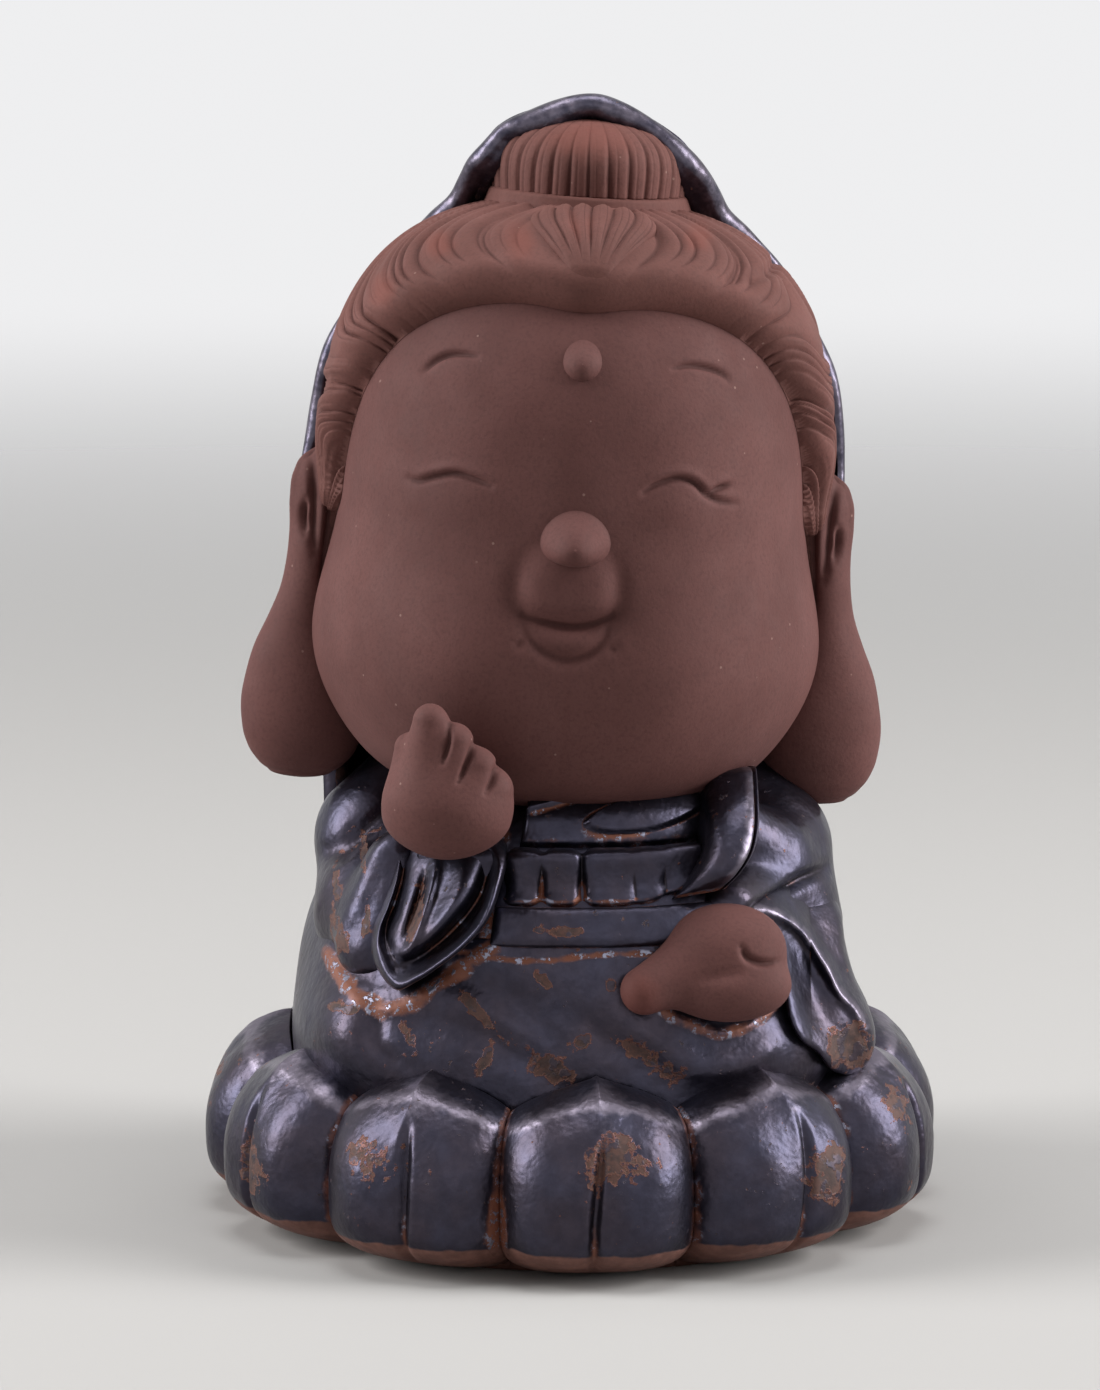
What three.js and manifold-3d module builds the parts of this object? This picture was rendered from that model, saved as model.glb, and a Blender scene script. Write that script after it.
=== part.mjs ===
// A small unglazed-and-glazed clay tea figure: a seated, veiled figure on a lotus seat.
// It is drawn as the pieces of clay a potter presses and joins with slip before the firing.
// Millimetres, +Z up, the face looks along -Y. Left and right are the figure's own.
// The origin is the middle of the foot, on the table.
import * as THREE from "three";
import { mergeVertices } from "three/addons/utils/BufferGeometryUtils.js";
import Module from "manifold-3d";

const wasm = await Module();
wasm.setup();

// Clay
const slip_joint = 0.3;
const clay_wall = 3;
const neck_bore_radius = 6.5;

// Lotus seat
const petal_count = 11;
const petal_height = 17.2;
const petal_reach = 33.1;
const petal_foot_reach = 26;
const petal_tip_reach = 28.6;
const petal_widest_height = 7;
const seat_turn = THREE.MathUtils.degToRad(4.4);
const drum_radius = 25.2;
const drum_height = 11.5;
const floor_thickness = 3;
const vent_radius = 6;

// Robe
const robe_height = 32.7;
const lap_front_depth = 24.8;
const lap_back_depth = 24;
const waist_rise = 15.8;
const knee_swell = 1.9;
const knee_rise = 6;
const knee_angle = 0.86;
const robe_squareness = 2.15;
const belt_width = 3;
const belt_thickness = 0.9;
const bodice_width = 4.2;
const bodice_thickness = 1.5;
const collar_width = 5;
const collar_thickness = 1.2;
const lapel_width = 4.4;
const lapel_thickness = 2.1;
const lapel_out = 12.3;
const lapel_slant = 0.38;

// Head
const neck_height = 42;
const head_roll = THREE.MathUtils.degToRad(3);
const head_side_shift = 1.1;
const head_half_width = 20.4;
const head_half_height = 23.7;
const head_centre_rise = 22.7;
const face_depth = 22.2;
const head_back_depth = 20;
const cheek_swell = 3.2;
const cheek_rise = 9;
const cheek_round = 1.4;
const nose_radius = 2.7;
const nose_rise = 21.4;
const brow_bead_radius = 1.75;
const brow_bead_rise = 36.7;
const line_width = 0.9;
const eye_out = 11;
const eye_rise = 25.7;
const eye_half_width = 2.9;
const brow_out = 10.6;
const brow_rise = 35.6;
const brow_half_width = 2.2;
const mouth_rise = 14.9;
const mouth_half_width = 4.2;

// Hair
const hair_thickness = 2.8;
const hair_end_thickness = 0.9;
const hair_back_edge = 3;
const hairline_half_width = 20.5;
const hairline_rise = 41.3;
const hairline_foot = 16.6;
const hairline_flare = 1.3;
const hairline_flare_height = 6;
const hairline_squareness = 3;
const hairline_peak = 0.7;
const hair_lip = 2.4;
const bun_radius = 8.2;
const bun_height = 6.7;
const bun_band_height = 2;
const bun_band_swell = 0.4;
const bun_back_shift = 1.5;
const tuft_half_width = 5.2;
const tuft_thickness = 1.1;

// Ears
const lobe_radius = 7;
const lobe_half_width = 5.7;
const lobe_rise = 3;
const lobe_out = 2.7;
const lobe_thickness = 6.8;
const ear_top_rise = 27;
const ear_top_radius = 2.1;
const ear_top_out = 2.6;
const ear_top_thickness = 4.6;

// Veil
const veil_thickness = 3.3;
const hood_thickness = 3.2;
const hood_rise = 1.9;
const hood_lean = 4.5;
const hood_hollow = 1.7;
const veil_hem_height = 17;
const veil_hem_half_width = 21;
const veil_hem_swell = 1.4;
const veil_neck_draw = 1.6;

// Hands and sleeves
const raised_hand_length = 14;
const raised_hand_half_width = 5.5;
const raised_hand_half_depth = 4;
const raised_hand_out = 10.4;
const raised_wrist_radius = 3.2;
const resting_hand_length = 11.6;
const resting_hand_half_width = 5;
const resting_hand_half_depth = 4.3;
const resting_hand_out = 13.4;
const resting_finger_radius = 2;
const resting_finger_length = 6;
const sleeve_radius = 6.8;
const shoulder_radius = 5.2;
const shoulder_drop = 5;
const shoulder_sink = 2.1;
const shoulder_back = 1;
const elbow_sink = 1.8;
const elbow_forward = 3.5;
const right_forearm_sink = 7.1;
const left_forearm_sink = 5.2;
const forearm_forward = 10.5;
const sleeve_cuff_radius = 5.4;
const cuff_drop = 11.6;
const cuff_half_width = 4.8;
const cuff_tip_half_width = 2.2;
const cuff_thickness = 5.6;
const cuff_wall = 1.4;
const cuff_stand_out = 4.4;
const left_cuff_drop = 14.6;

// Clay and glaze colours
const clay = new THREE.MeshStandardMaterial({ color: 0x6a463e, roughness: 0.85, metalness: 0 });
const hair_clay = new THREE.MeshStandardMaterial({ color: 0x74493d, roughness: 0.82, metalness: 0 });
const glaze = new THREE.MeshStandardMaterial({ color: 0x3c3c46, roughness: 0.35, metalness: 0.75 });

// Sizes that follow from the others
const seat_pitch = (2 * Math.PI) / petal_count;
const petal_back_radius = drum_radius + slip_joint;
const robe_bottom = drum_height + slip_joint;
const waist_height = robe_bottom + waist_rise;
const head_crown_rise = head_centre_rise + head_half_height;
const hair_crown_rise = head_crown_rise + hair_thickness;
const bun_foot_rise = hair_crown_rise + bun_band_height / 4;
const bun_crown_rise = bun_foot_rise + bun_height;
const hood_crown_rise = bun_crown_rise + hood_rise;
const far = 4 * (neck_height + hood_crown_rise);
const joint_half = slip_joint / 2;

// How much is left of a half-width at the share q of a half-height, on a superellipse.
function dome(q, n, m = n) {
  return Math.max(0, 1 - Math.abs(q) ** n) ** (1 / m);
}

function bell(distance, width) {
  return Math.exp(-((distance / width) ** 2));
}

function smooth(t) {
  const s = THREE.MathUtils.clamp(t, 0, 1);
  return s * s * (3 - 2 * s);
}

// The share of a bar's half-width at v, where its first and last stretches are rounded off.
function roundEnds(v, start, end) {
  const left = Math.min(v / start, (1 - v) / end, 1);
  return Math.sqrt(1 - (1 - left) ** 2);
}

// A point on a superellipse round the origin, at the share u of a turn.
function roundSquare(u, exponent) {
  const c = Math.cos(2 * Math.PI * u);
  const s = Math.sin(2 * Math.PI * u);
  const k = (Math.abs(c) ** exponent + Math.abs(s) ** exponent) ** (-1 / exponent);
  return [c * k, s * k];
}

// A closed skin through a stack of rings. point(u, v) gives a point at the share u round ring v.
function skin(point, rings, around, ends = [0.02, 0.98]) {
  const positions = [];
  const index = [];
  for (let j = 0; j <= rings; j++) {
    const v = THREE.MathUtils.lerp(ends[0], ends[1], j / rings);
    for (let i = 0; i < around; i++) positions.push(...point(i / around, v));
  }
  const top_ring = rings * around;
  for (const first of [0, top_ring]) {
    const middle = [0, 0, 0];
    for (let i = 0; i < around; i++)
      for (let k = 0; k < 3; k++) middle[k] += positions[(first + i) * 3 + k] / around;
    positions.push(...middle);
  }
  const foot = top_ring + around;
  for (let i = 0; i < around; i++) {
    const next = (i + 1) % around;
    index.push(foot, next, i, foot + 1, top_ring + i, top_ring + next);
    for (let j = 0; j < top_ring; j += around)
      index.push(j + i, j + next, j + around + next, j + i, j + around + next, j + around + i);
  }
  const geometry = new THREE.BufferGeometry();
  geometry.setAttribute("position", new THREE.Float32BufferAttribute(positions, 3));
  geometry.setIndex(index);
  if (solidOf(geometry).volume() < 0) geometry.setIndex(index.reverse());
  geometry.computeVertexNormals();
  return geometry;
}

// A limb: an elliptical section carried along a curve, its rings closer together at the ends.
// sizes(v) gives the two half-widths; the first one lies along the direction across.
function limb(points, sizes, across, rings = 9, around = 14) {
  const path = new THREE.CatmullRomCurve3(points.map((p) => new THREE.Vector3(...p)));
  const side_hint = new THREE.Vector3(...across);
  const section = (u, t) => {
    const v = (1 - Math.cos(Math.PI * t)) / 2;
    const along = path.getTangentAt(v);
    const out = new THREE.Vector3().crossVectors(along, side_hint).normalize();
    const side = new THREE.Vector3().crossVectors(out, along);
    const [half_width, half_depth] = sizes(v);
    return path
      .getPointAt(v)
      .addScaledVector(side, half_width * Math.cos(2 * Math.PI * u))
      .addScaledVector(out, half_depth * Math.sin(2 * Math.PI * u))
      .toArray();
  };
  return skin(section, rings, around, [0.03, 0.97]);
}

// The geometry with only its positions, each corner shared by the faces that meet there.
function welded(geometry) {
  const bare = new THREE.BufferGeometry().setAttribute("position", geometry.getAttribute("position"));
  if (geometry.index) bare.setIndex(geometry.index);
  const merged = mergeVertices(bare, 1e-4);
  merged.computeVertexNormals();
  return merged;
}

function solidOf(geometry) {
  const merged = welded(geometry);
  return new wasm.Manifold(
    new wasm.Mesh({
      numProp: 3,
      vertProperties: new Float32Array(merged.getAttribute("position").array),
      triVerts: new Uint32Array(merged.index.array),
    }),
  );
}

function geometryOf(solid) {
  const mesh = solid.getMesh();
  const geometry = new THREE.BufferGeometry();
  geometry.setAttribute("position", new THREE.BufferAttribute(new Float32Array(mesh.vertProperties), 3));
  geometry.setIndex(new THREE.BufferAttribute(new Uint32Array(mesh.triVerts), 1));
  return geometry;
}

// The same shape, moved out along its normals: what a neighbour is cut by, to leave the slip joint.
function grown(geometry, distance = slip_joint) {
  const bigger = welded(geometry);
  const place = bigger.getAttribute("position");
  const normal = bigger.getAttribute("normal");
  for (let i = 0; i < place.count; i++)
    place.setXYZ(
      i,
      place.getX(i) + distance * normal.getX(i),
      place.getY(i) + distance * normal.getY(i),
      place.getZ(i) + distance * normal.getZ(i),
    );
  return bigger;
}

function moved(geometry, matrix) {
  return geometry.clone().applyMatrix4(matrix);
}

function joined(...geometries) {
  return geometryOf(geometries.map(solidOf).reduce((whole, part) => whole.add(part)));
}

// A block between two corners.
function block(low, high) {
  const size = high.map((h, k) => h - low[k]);
  const middle = high.map((h, k) => (h + low[k]) / 2);
  return new THREE.BoxGeometry(...size).translate(...middle);
}

// A prism along X through points given as [y, z].
function prismAlongX(points) {
  const outline = new THREE.Shape(points.map(([y, z]) => new THREE.Vector2(y, z)));
  return new THREE.ExtrudeGeometry(outline, { depth: 2 * far, bevelEnabled: false })
    .translate(0, 0, -far)
    .rotateX(Math.PI / 2)
    .rotateZ(Math.PI / 2);
}

// A ring or disc turned about Z from points given as [radius, z].
function turned(points, segments) {
  const profile = points.map(([radius, z]) => new THREE.Vector2(radius, z));
  return new THREE.LatheGeometry(profile, segments).rotateX(Math.PI / 2);
}

// The part of a shape inside every keep and outside every cut, without loose crumbs.
function trimmed(shape, { keep = [], cut = [] }) {
  let solid = solidOf(shape);
  for (const k of keep) solid = solid.intersect(solidOf(k));
  for (const c of cut) solid = solid.subtract(solidOf(c));
  const bodies = solid.decompose().sort((a, b) => b.volume() - a.volume());
  return geometryOf(bodies[0]);
}

function piece(name, geometry, material) {
  const mesh = new THREE.Mesh(geometry, material);
  mesh.name = name;
  return mesh;
}

// Seat: a floor with a firing vent, a drum, and fat petals joined round the drum.
function floorSlab() {
  const ring = [
    [vent_radius, 0],
    [drum_radius, 0],
    [drum_radius, floor_thickness],
    [vent_radius, floor_thickness],
    [vent_radius, 0],
  ];
  return turned(ring, 3 * petal_count);
}

function seatDrum() {
  const inside = drum_radius - clay_wall;
  const foot = floor_thickness + slip_joint;
  const ring = [
    [inside, foot],
    [drum_radius, foot],
    [drum_radius, drum_height],
    [inside, drum_height],
    [inside, foot],
  ];
  return turned(ring, 3 * petal_count);
}

// How far out a petal reaches at a height: a rounded foot, a full belly and a tip that leans in.
function petalReach(z) {
  const foot = Math.max(0, 1 - z / petal_widest_height) ** 4.2;
  const lean = Math.max(0, (z - petal_widest_height) / (petal_height - petal_widest_height)) ** 2.2;
  return petal_reach - (petal_reach - petal_foot_reach) * foot - (petal_reach - petal_tip_reach) * lean;
}

// A petal is a square-shouldered cushion that closes to a blunt point; its back follows the drum.
function lotusPetal() {
  const half_angle = seat_pitch / 2 - joint_half / petal_back_radius;
  const section = (u, v) => {
    const z = petal_height * v ** 1.3;
    const spread = half_angle * dome(Math.max(0, 2 * (z / petal_height) - 1), 2.4, 1.6);
    const [c, s] = u < 0.5 ? roundSquare(u, 4.5) : [Math.cos(2 * Math.PI * u), 0];
    const radius = THREE.MathUtils.lerp(petal_back_radius, petalReach(z), s);
    const angle = spread * c - Math.PI / 2;
    return [radius * Math.cos(angle), radius * Math.sin(angle), z];
  };
  return skin(section, 8, 12, [0, 0.985]);
}

// The share of the robe's width and front depth that is left at a height: it closes like a bell.
function robeTaper(z, inset = 0) {
  const rise = THREE.MathUtils.clamp((z - robe_bottom) / (robe_height - inset), 0, 1);
  return dome(rise, 2.8, 1.7);
}

// How far the robe's side, or its front beside the middle, stands from its axis at a height.
function robeSide(z) {
  return drum_radius * robeTaper(z);
}

function robeFront(x, z) {
  const across = Math.min(Math.abs(x) / robeSide(z), 1);
  return lap_front_depth * robeTaper(z) * dome(across, robe_squareness);
}

// Robe: a bell with swollen knees. inset draws the wall in; foot is where the bell starts.
function robeForm(inset = 0, foot = robe_bottom, rings = 11, around = 26) {
  const crown = robe_height - inset;
  const section = (u, v) => {
    const z = THREE.MathUtils.lerp(foot, robe_bottom + crown, Math.sin((v * Math.PI) / 2));
    const rise = THREE.MathUtils.clamp((z - robe_bottom) / crown, 0, 1);
    const [c, s] = roundSquare(u, robe_squareness);
    const front = robeTaper(z, inset);
    const back = dome(rise, 1.7, 1.45);
    const from_front = Math.abs(Math.atan2(c, -s));
    const knee = knee_swell * bell(z - robe_bottom - knee_rise, 4.5) * bell(from_front - knee_angle, 0.42);
    const width = (drum_radius - inset) * front + knee;
    const depth = s < 0 ? (lap_front_depth - inset) * front + knee : (lap_back_depth - inset) * back;
    return [width * c, depth * s, z];
  };
  return skin(section, rings, around, [0, 0.985]);
}

// Head: a square-shouldered egg with full cheeks, in the head's own frame, whose origin is the neck.
function headHalfWidth(rise, grow = 0) {
  const q = (rise - head_centre_rise) / (head_half_height + grow);
  const cheeks = cheek_swell * bell(rise - cheek_rise, 9);
  return (head_half_width + grow + cheeks) * dome(q, q < 0 ? 3.8 : 2.8);
}

function headDepth(rise, front, grow = 0) {
  const q = (rise - head_centre_rise) / (head_half_height + grow);
  return ((front ? face_depth : head_back_depth) + grow) * dome(q, q < 0 ? 3.8 : 2.8);
}

function headForm(grow = 0, rings = 13, around = 26) {
  const section = (u, v) => {
    const rise = head_centre_rise - (head_half_height + grow) * Math.cos(Math.PI * v);
    const [c, s] = roundSquare(u, 2.2);
    const cheeks = s < 0 ? cheek_round * bell(rise - cheek_rise, 8) * bell(Math.abs(c) - 0.5, 0.35) : 0;
    return [headHalfWidth(rise, grow) * c, (headDepth(rise, s < 0, grow) + cheeks) * s, rise];
  };
  return skin(section, rings, around);
}

function hairThickness(rise) {
  const full = smooth((rise - hairline_foot) / (head_centre_rise / 2));
  return THREE.MathUtils.lerp(hair_end_thickness, hair_thickness, full);
}

// A line pressed into the face: a thin tube bent along points given as [x, rise], on the skin.
function pressedLine(points) {
  const onFace = ([x, rise]) => {
    const across = Math.abs(x) / headHalfWidth(rise);
    return new THREE.Vector3(x, -headDepth(rise, true) * dome(across, 2.2) - line_width / 4, rise);
  };
  const path = new THREE.CatmullRomCurve3(points.map(onFace));
  const dot = new THREE.Shape();
  dot.absellipse(0, 0, line_width / 2, line_width, 0, 2 * Math.PI);
  const options = { extrudePath: path, steps: 6, curveSegments: 3, bevelEnabled: false };
  return new THREE.ExtrudeGeometry(dot, options);
}

function arch(out, rise, half_width, height) {
  return [
    [out - half_width, rise],
    [out - half_width / 2, rise + 0.75 * height],
    [out, rise + height],
    [out + half_width / 2, rise + 0.75 * height],
    [out + half_width, rise],
  ];
}

// Where a ray from the head's middle leaves the head grown by a thickness, found by halving.
function onHead(direction, grow) {
  let inside = 0;
  let outside = 2 * head_half_height;
  for (let k = 0; k < 24; k++) {
    const reach = (inside + outside) / 2;
    const [x, y, z] = direction.clone().multiplyScalar(reach).toArray();
    const across = x / headHalfWidth(z + head_centre_rise, grow);
    const deep = y / headDepth(z + head_centre_rise, y < 0, grow);
    if (Math.abs(across) ** 2.2 + Math.abs(deep) ** 2.2 < 1) inside = reach;
    else outside = reach;
  }
  return [inside * direction.x, inside * direction.y, inside * direction.z + head_centre_rise];
}

// The edge of the hair on the face, from the right temple (v = 0) over the forehead to the left one.
function hairline(v) {
  const turn = Math.PI * (1 - v);
  const power = 2 / hairline_squareness;
  const out = hairline_half_width * Math.abs(Math.cos(turn)) ** power;
  const arch_height = (hairline_rise - hairline_foot) * Math.max(0, Math.sin(turn)) ** power;
  const rise = hairline_foot + arch_height - hairline_peak * bell(out, 4);
  const flare = hairline_flare * (1 - smooth(arch_height / hairline_flare_height));
  const across = Math.min((out + flare) / headHalfWidth(rise), 1);
  const x = across * headHalfWidth(rise) * Math.sign(Math.cos(turn));
  return new THREE.Vector3(x, -headDepth(rise, true) * dome(across, 2.2), rise - head_centre_rise);
}

// The hair: a rolled lip at the hairline, then a coat that runs back round the head to the veil.
function hairCap() {
  const lip = [
    [0, -0.5],
    [0.18, 0.55],
    [0.5, 0.87],
    [1, 1],
  ];
  const section = (u, v) => {
    const start = hairline(v);
    const sweep = Math.atan2(start.x, start.z);
    const end = new THREE.Vector3(Math.sin(sweep), 0, Math.cos(sweep)).multiplyScalar(head_half_height);
    end.y = hair_back_edge;
    const length = start.distanceTo(end);
    const coat = [0.45, 0.7, 1].map((share) => [share * length, 1]);
    const under = [1, 0.66, 0.33, 0.02].map((share) => [share * length, -0.5]);
    const stations = [...lip.map(([way, share]) => [way * hair_lip, share]), ...coat, ...under];
    const [way, share] = stations[Math.round(u * stations.length)];
    const direction = start.clone().normalize().lerp(end.clone().normalize(), way / length).normalize();
    const [, , rise] = onHead(direction, 0);
    return onHead(direction, share * hairThickness(rise));
  };
  return skin(section, 30, lip.length + 7, [0, 1]);
}

function hairBun() {
  const section = (u, v) => {
    const q = v ** 0.8;
    const round = bun_radius * (0.94 + 0.06 * Math.sin(Math.PI * q)) * dome(q, 4.5, 2);
    const turn = 2 * Math.PI * u;
    return [round * Math.cos(turn), bun_back_shift + round * Math.sin(turn), bun_foot_rise + bun_height * q];
  };
  return skin(section, 6, 22, [0, 0.98]);
}

function bunBand() {
  const radius = bun_radius + bun_band_swell;
  const top = bun_foot_rise - slip_joint;
  const edge = bun_band_height / 4;
  const disc = [
    [0, top - 2 * bun_band_height],
    [radius, top - 2 * bun_band_height],
    [radius, top - edge],
    [radius - edge, top],
    [0, top],
  ];
  return turned(disc, 22).translate(0, bun_back_shift, 0);
}

// The lock combed up from the middle of the forehead, as a fan-shaped prism.
function tuftFan() {
  const outline = new THREE.Shape();
  const top = hair_crown_rise - 1.6;
  const foot = hairline_rise - 1.2;
  outline.moveTo(0, foot);
  outline.quadraticCurveTo(tuft_half_width, top - 4.4, tuft_half_width, top);
  outline.quadraticCurveTo(0, top + 2.2, -tuft_half_width, top);
  outline.quadraticCurveTo(-tuft_half_width, top - 4.4, 0, foot);
  const fan = new THREE.ExtrudeGeometry(outline, { depth: far, bevelEnabled: false, curveSegments: 5 });
  return fan.rotateX(Math.PI / 2);
}

// An ear: slim at the top, running down into a fat drop-shaped lobe. side is 1 for the left ear.
function ear(side) {
  const foot = lobe_rise - lobe_radius;
  const lobe_at = (ear_top_rise - lobe_rise) / (ear_top_rise - foot);
  const top_out = head_half_width + ear_top_out;
  const lobe_centre = head_half_width + lobe_out;
  const sizes = (v) => {
    const fat = smooth((v - lobe_at / 3) / (lobe_at * (2 / 3)));
    const end = roundEnds(v, 0.07, 1 - lobe_at);
    return [
      end * THREE.MathUtils.lerp(ear_top_radius, lobe_half_width, fat),
      (end * THREE.MathUtils.lerp(ear_top_thickness, lobe_thickness, fat)) / 2,
    ];
  };
  const points = [
    [side * top_out, 0, ear_top_rise],
    [side * top_out, 0, (ear_top_rise + lobe_rise) / 2],
    [side * lobe_centre, 0, lobe_rise],
    [side * lobe_centre, 0, foot],
  ];
  return limb(points, sizes, [1, 0, 0], 11, 12);
}

// Veil: one sheet over the bun, down the back of the head and over the shoulders.
function veilForm() {
  const hem = veil_hem_height - neck_height;
  const hood_radius = bun_radius + hood_thickness;
  const overHead = (rise) => {
    const q = Math.max(0, (rise - head_crown_rise) / (hood_crown_rise - head_crown_rise));
    const over = Math.max(rise, head_centre_rise);
    const hood = rise > head_centre_rise ? hood_radius : 0;
    const hood_depth = hood * dome(q, 3.4, 2) + (hood && bun_back_shift);
    return [
      (headHalfWidth(over, veil_thickness) ** 7 + (hood * dome(q, 2.4, 1.8)) ** 7) ** (1 / 7),
      (headDepth(over, false, veil_thickness) ** 7 + hood_depth ** 7) ** (1 / 7),
    ];
  };
  const section = (u, v) => {
    const lower = v < 0.4;
    const q = lower ? v / 0.4 : 1 - (1 - (v - 0.4) / 0.6) ** 1.6;
    const rise = lower
      ? THREE.MathUtils.lerp(hem, head_centre_rise, q)
      : THREE.MathUtils.lerp(head_centre_rise, hood_crown_rise, q);
    const below = smooth((head_centre_rise - rise) / (head_centre_rise - hem));
    const draw = veil_neck_draw * Math.sin(Math.PI * below) ** 2;
    const [width_over, depth_over] = overHead(rise);
    const width = THREE.MathUtils.lerp(width_over, veil_hem_half_width, below) - draw;
    const depth = THREE.MathUtils.lerp(depth_over, lap_back_depth + veil_hem_swell, below) - draw;
    const [c, s] = roundSquare(u, 2.2);
    return [width * c, depth * s, rise];
  };
  return skin(section, 16, 24, [0, 0.985]);
}

// What lies behind the veil's front edge: the edge comes forward over the bun, to shelter it.
function behindVeilEdge() {
  const edge = hair_back_edge + slip_joint;
  const hood_edge = edge - hood_lean;
  return prismAlongX([
    [edge, -far],
    [far, -far],
    [far, far],
    [hood_edge, far],
    [hood_edge, bun_foot_rise + bun_height / 3],
    [edge, hair_crown_rise - hair_thickness],
  ]);
}

// Bands of cloth laid on the chest, between two heights of the robe.
function chestBand(low, high, thickness, cuts) {
  const front = block([-far, -far, low], [far, -drum_radius / 4, high]);
  return trimmed(grown(robe, thickness + slip_joint), { keep: [front], cut: [grown(robe), ...cuts] });
}

// Head frame: it stands on the neck and rolls a little to its left.
const head_frame = new THREE.Matrix4().makeRotationY(head_roll);
head_frame.setPosition(-head_side_shift, 0, neck_height);
const from_head = head_frame.clone().invert();

// Forms that the pieces are cut from
const petal = lotusPetal();
const robe = robeForm();
const robe_cavity = robeForm(clay_wall, 0, 7, 16);
const head = headForm();
const head_cavity = headForm(-clay_wall, 8, 16);
const neck_bore = new THREE.CylinderGeometry(neck_bore_radius, neck_bore_radius, head_half_height, 20);
neck_bore.rotateX(Math.PI / 2);
const ears = { right_ear: ear(-1), left_ear: ear(1) };

// Right hand: raised to the chin, palm up and fingers together.
const raised_foot = neck_height - 5.6;
const raised_front = -(face_depth + 1.3);
const raised_hand = limb(
  [
    [-raised_hand_out, raised_front + 1.4, raised_foot],
    [-raised_hand_out, raised_front, raised_foot + raised_hand_length / 2],
    [-raised_hand_out - 1.5, raised_front - 0.4, raised_foot + raised_hand_length],
  ],
  (v) => {
    const end = roundEnds(v, 0.38, 0.12);
    const taper = smooth((v - 0.3) / 0.7);
    const half_depth = raised_hand_half_depth * end * (1 - 0.4 * taper);
    return [raised_hand_half_width * end * (1 - 0.58 * taper), half_depth];
  },
  [1, 0, 0],
);

const raised_wrist = limb(
  [
    [-raised_hand_out, raised_front + 1, raised_foot + raised_hand_length / 3],
    [-raised_hand_out - 1, raised_front / 2 - forearm_forward / 2, raised_foot + raised_hand_length / 6],
    [-raised_hand_out - 2, -forearm_forward, raised_foot - 1],
  ],
  (v) => {
    const end = roundEnds(v, 0.2, 0.2);
    return [raised_wrist_radius * end, raised_wrist_radius * end];
  },
  [1, 0, 0],
  7,
  12,
);

// Left hand: a closed palm resting on the lap, with the first finger held out.
const resting_height = waist_height - 1.1;
const resting_front = -(lap_front_depth - 2.6);
const resting_reach = resting_hand_length / 2;
const resting_palm = limb(
  [
    [resting_hand_out + resting_reach, resting_front + 1.6, resting_height + 0.8],
    [resting_hand_out, resting_front, resting_height],
    [resting_hand_out - resting_reach, resting_front - 1, resting_height - 0.6],
  ],
  (v) => {
    const end = roundEnds(v, 0.4, 0.45);
    return [resting_hand_half_width * end * (1 - 0.25 * v), resting_hand_half_depth * end];
  },
  [0, 0, 1],
);
const resting_knuckle = resting_hand_out - resting_reach / 2;
const resting_finger = limb(
  [
    [resting_knuckle, resting_front - 0.6, resting_height - 0.1],
    [resting_knuckle - resting_finger_length / 2, resting_front - 1.3, resting_height - 1.2],
    [resting_knuckle - resting_finger_length, resting_front - 1.8, resting_height - 2.6],
  ],
  (v) => {
    const end = roundEnds(v, 0.3, 0.3);
    return [resting_finger_radius * end, resting_finger_radius * end];
  },
  [0, 0, 1],
  7,
  10,
);

// Sleeves: a full arm that bends at the elbow to the wrist, and a cuff that hangs open below the wrist.
function arm(points) {
  const sizes = (v) => {
    const full = bell(v - 0.5, 0.42);
    const radius = THREE.MathUtils.lerp(v < 0.5 ? shoulder_radius : sleeve_cuff_radius, sleeve_radius, full);
    const end = roundEnds(v, 0.2, 0.16);
    return [radius * end, 0.85 * radius * end];
  };
  return limb(points, sizes, [1, 0, 0], 9, 14);
}

function cuff(points, half_width, tip_half_width, thickness) {
  const sizes = (v) => {
    const end = roundEnds(v, 0.25, 0.2);
    const width = THREE.MathUtils.lerp(half_width, tip_half_width, smooth(v));
    return [width * end, (thickness / 2) * end * (1 - 0.3 * v)];
  };
  return limb(points, sizes, [1, 0, 0], 9, 14);
}

// A height between the waist and the shoulders, at a share of the way up.
const shoulder_height = neck_height - shoulder_drop;
function upArm(share) {
  return THREE.MathUtils.lerp(waist_height, shoulder_height, share);
}

function upperArm(side) {
  const elbow_height = upArm(0.745);
  return [
    [side * (robeSide(shoulder_height) - shoulder_sink), shoulder_back, shoulder_height],
    [side * (robeSide(elbow_height) - elbow_sink), -elbow_forward, elbow_height],
  ];
}

const cuff_top = raised_foot - 0.4;
const right_wrist_out = raised_hand_out + 1.5;
const right_wrist_height = upArm(0.47);
const right_arm = arm([
  ...upperArm(-1),
  [-(robeSide(upArm(0.28)) - right_forearm_sink), -forearm_forward, upArm(0.28)],
  [-right_wrist_out, -robeFront(right_wrist_out, right_wrist_height), right_wrist_height],
]);
const right_cuff_points = [
  [raised_hand_out - 0.8, cuff_top, cuff_stand_out],
  [raised_hand_out + 1.2, cuff_top - cuff_drop / 2, 0.3 * cuff_stand_out],
  [raised_hand_out + 4.8, cuff_top - cuff_drop, 0],
].map(([out, z, stand_out]) => [-out, -(robeFront(out, z) + stand_out), z]);
const right_cuff = cuff(right_cuff_points, cuff_half_width, cuff_tip_half_width, cuff_thickness);
const right_mouth = cuff(
  right_cuff_points.map(([x, y, z], k) => [x, y - 0.6 * cuff_thickness, z + 0.5 * k]),
  cuff_half_width - cuff_wall,
  cuff_tip_half_width - cuff_wall / 2,
  cuff_thickness,
);
const left_wrist_out = resting_hand_out + 3;
const left_arm = arm([
  ...upperArm(1),
  [robeSide(upArm(0.26)) - left_forearm_sink, -forearm_forward, upArm(0.26)],
  [left_wrist_out, resting_front + 6.6, upArm(0.15)],
]);
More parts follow.
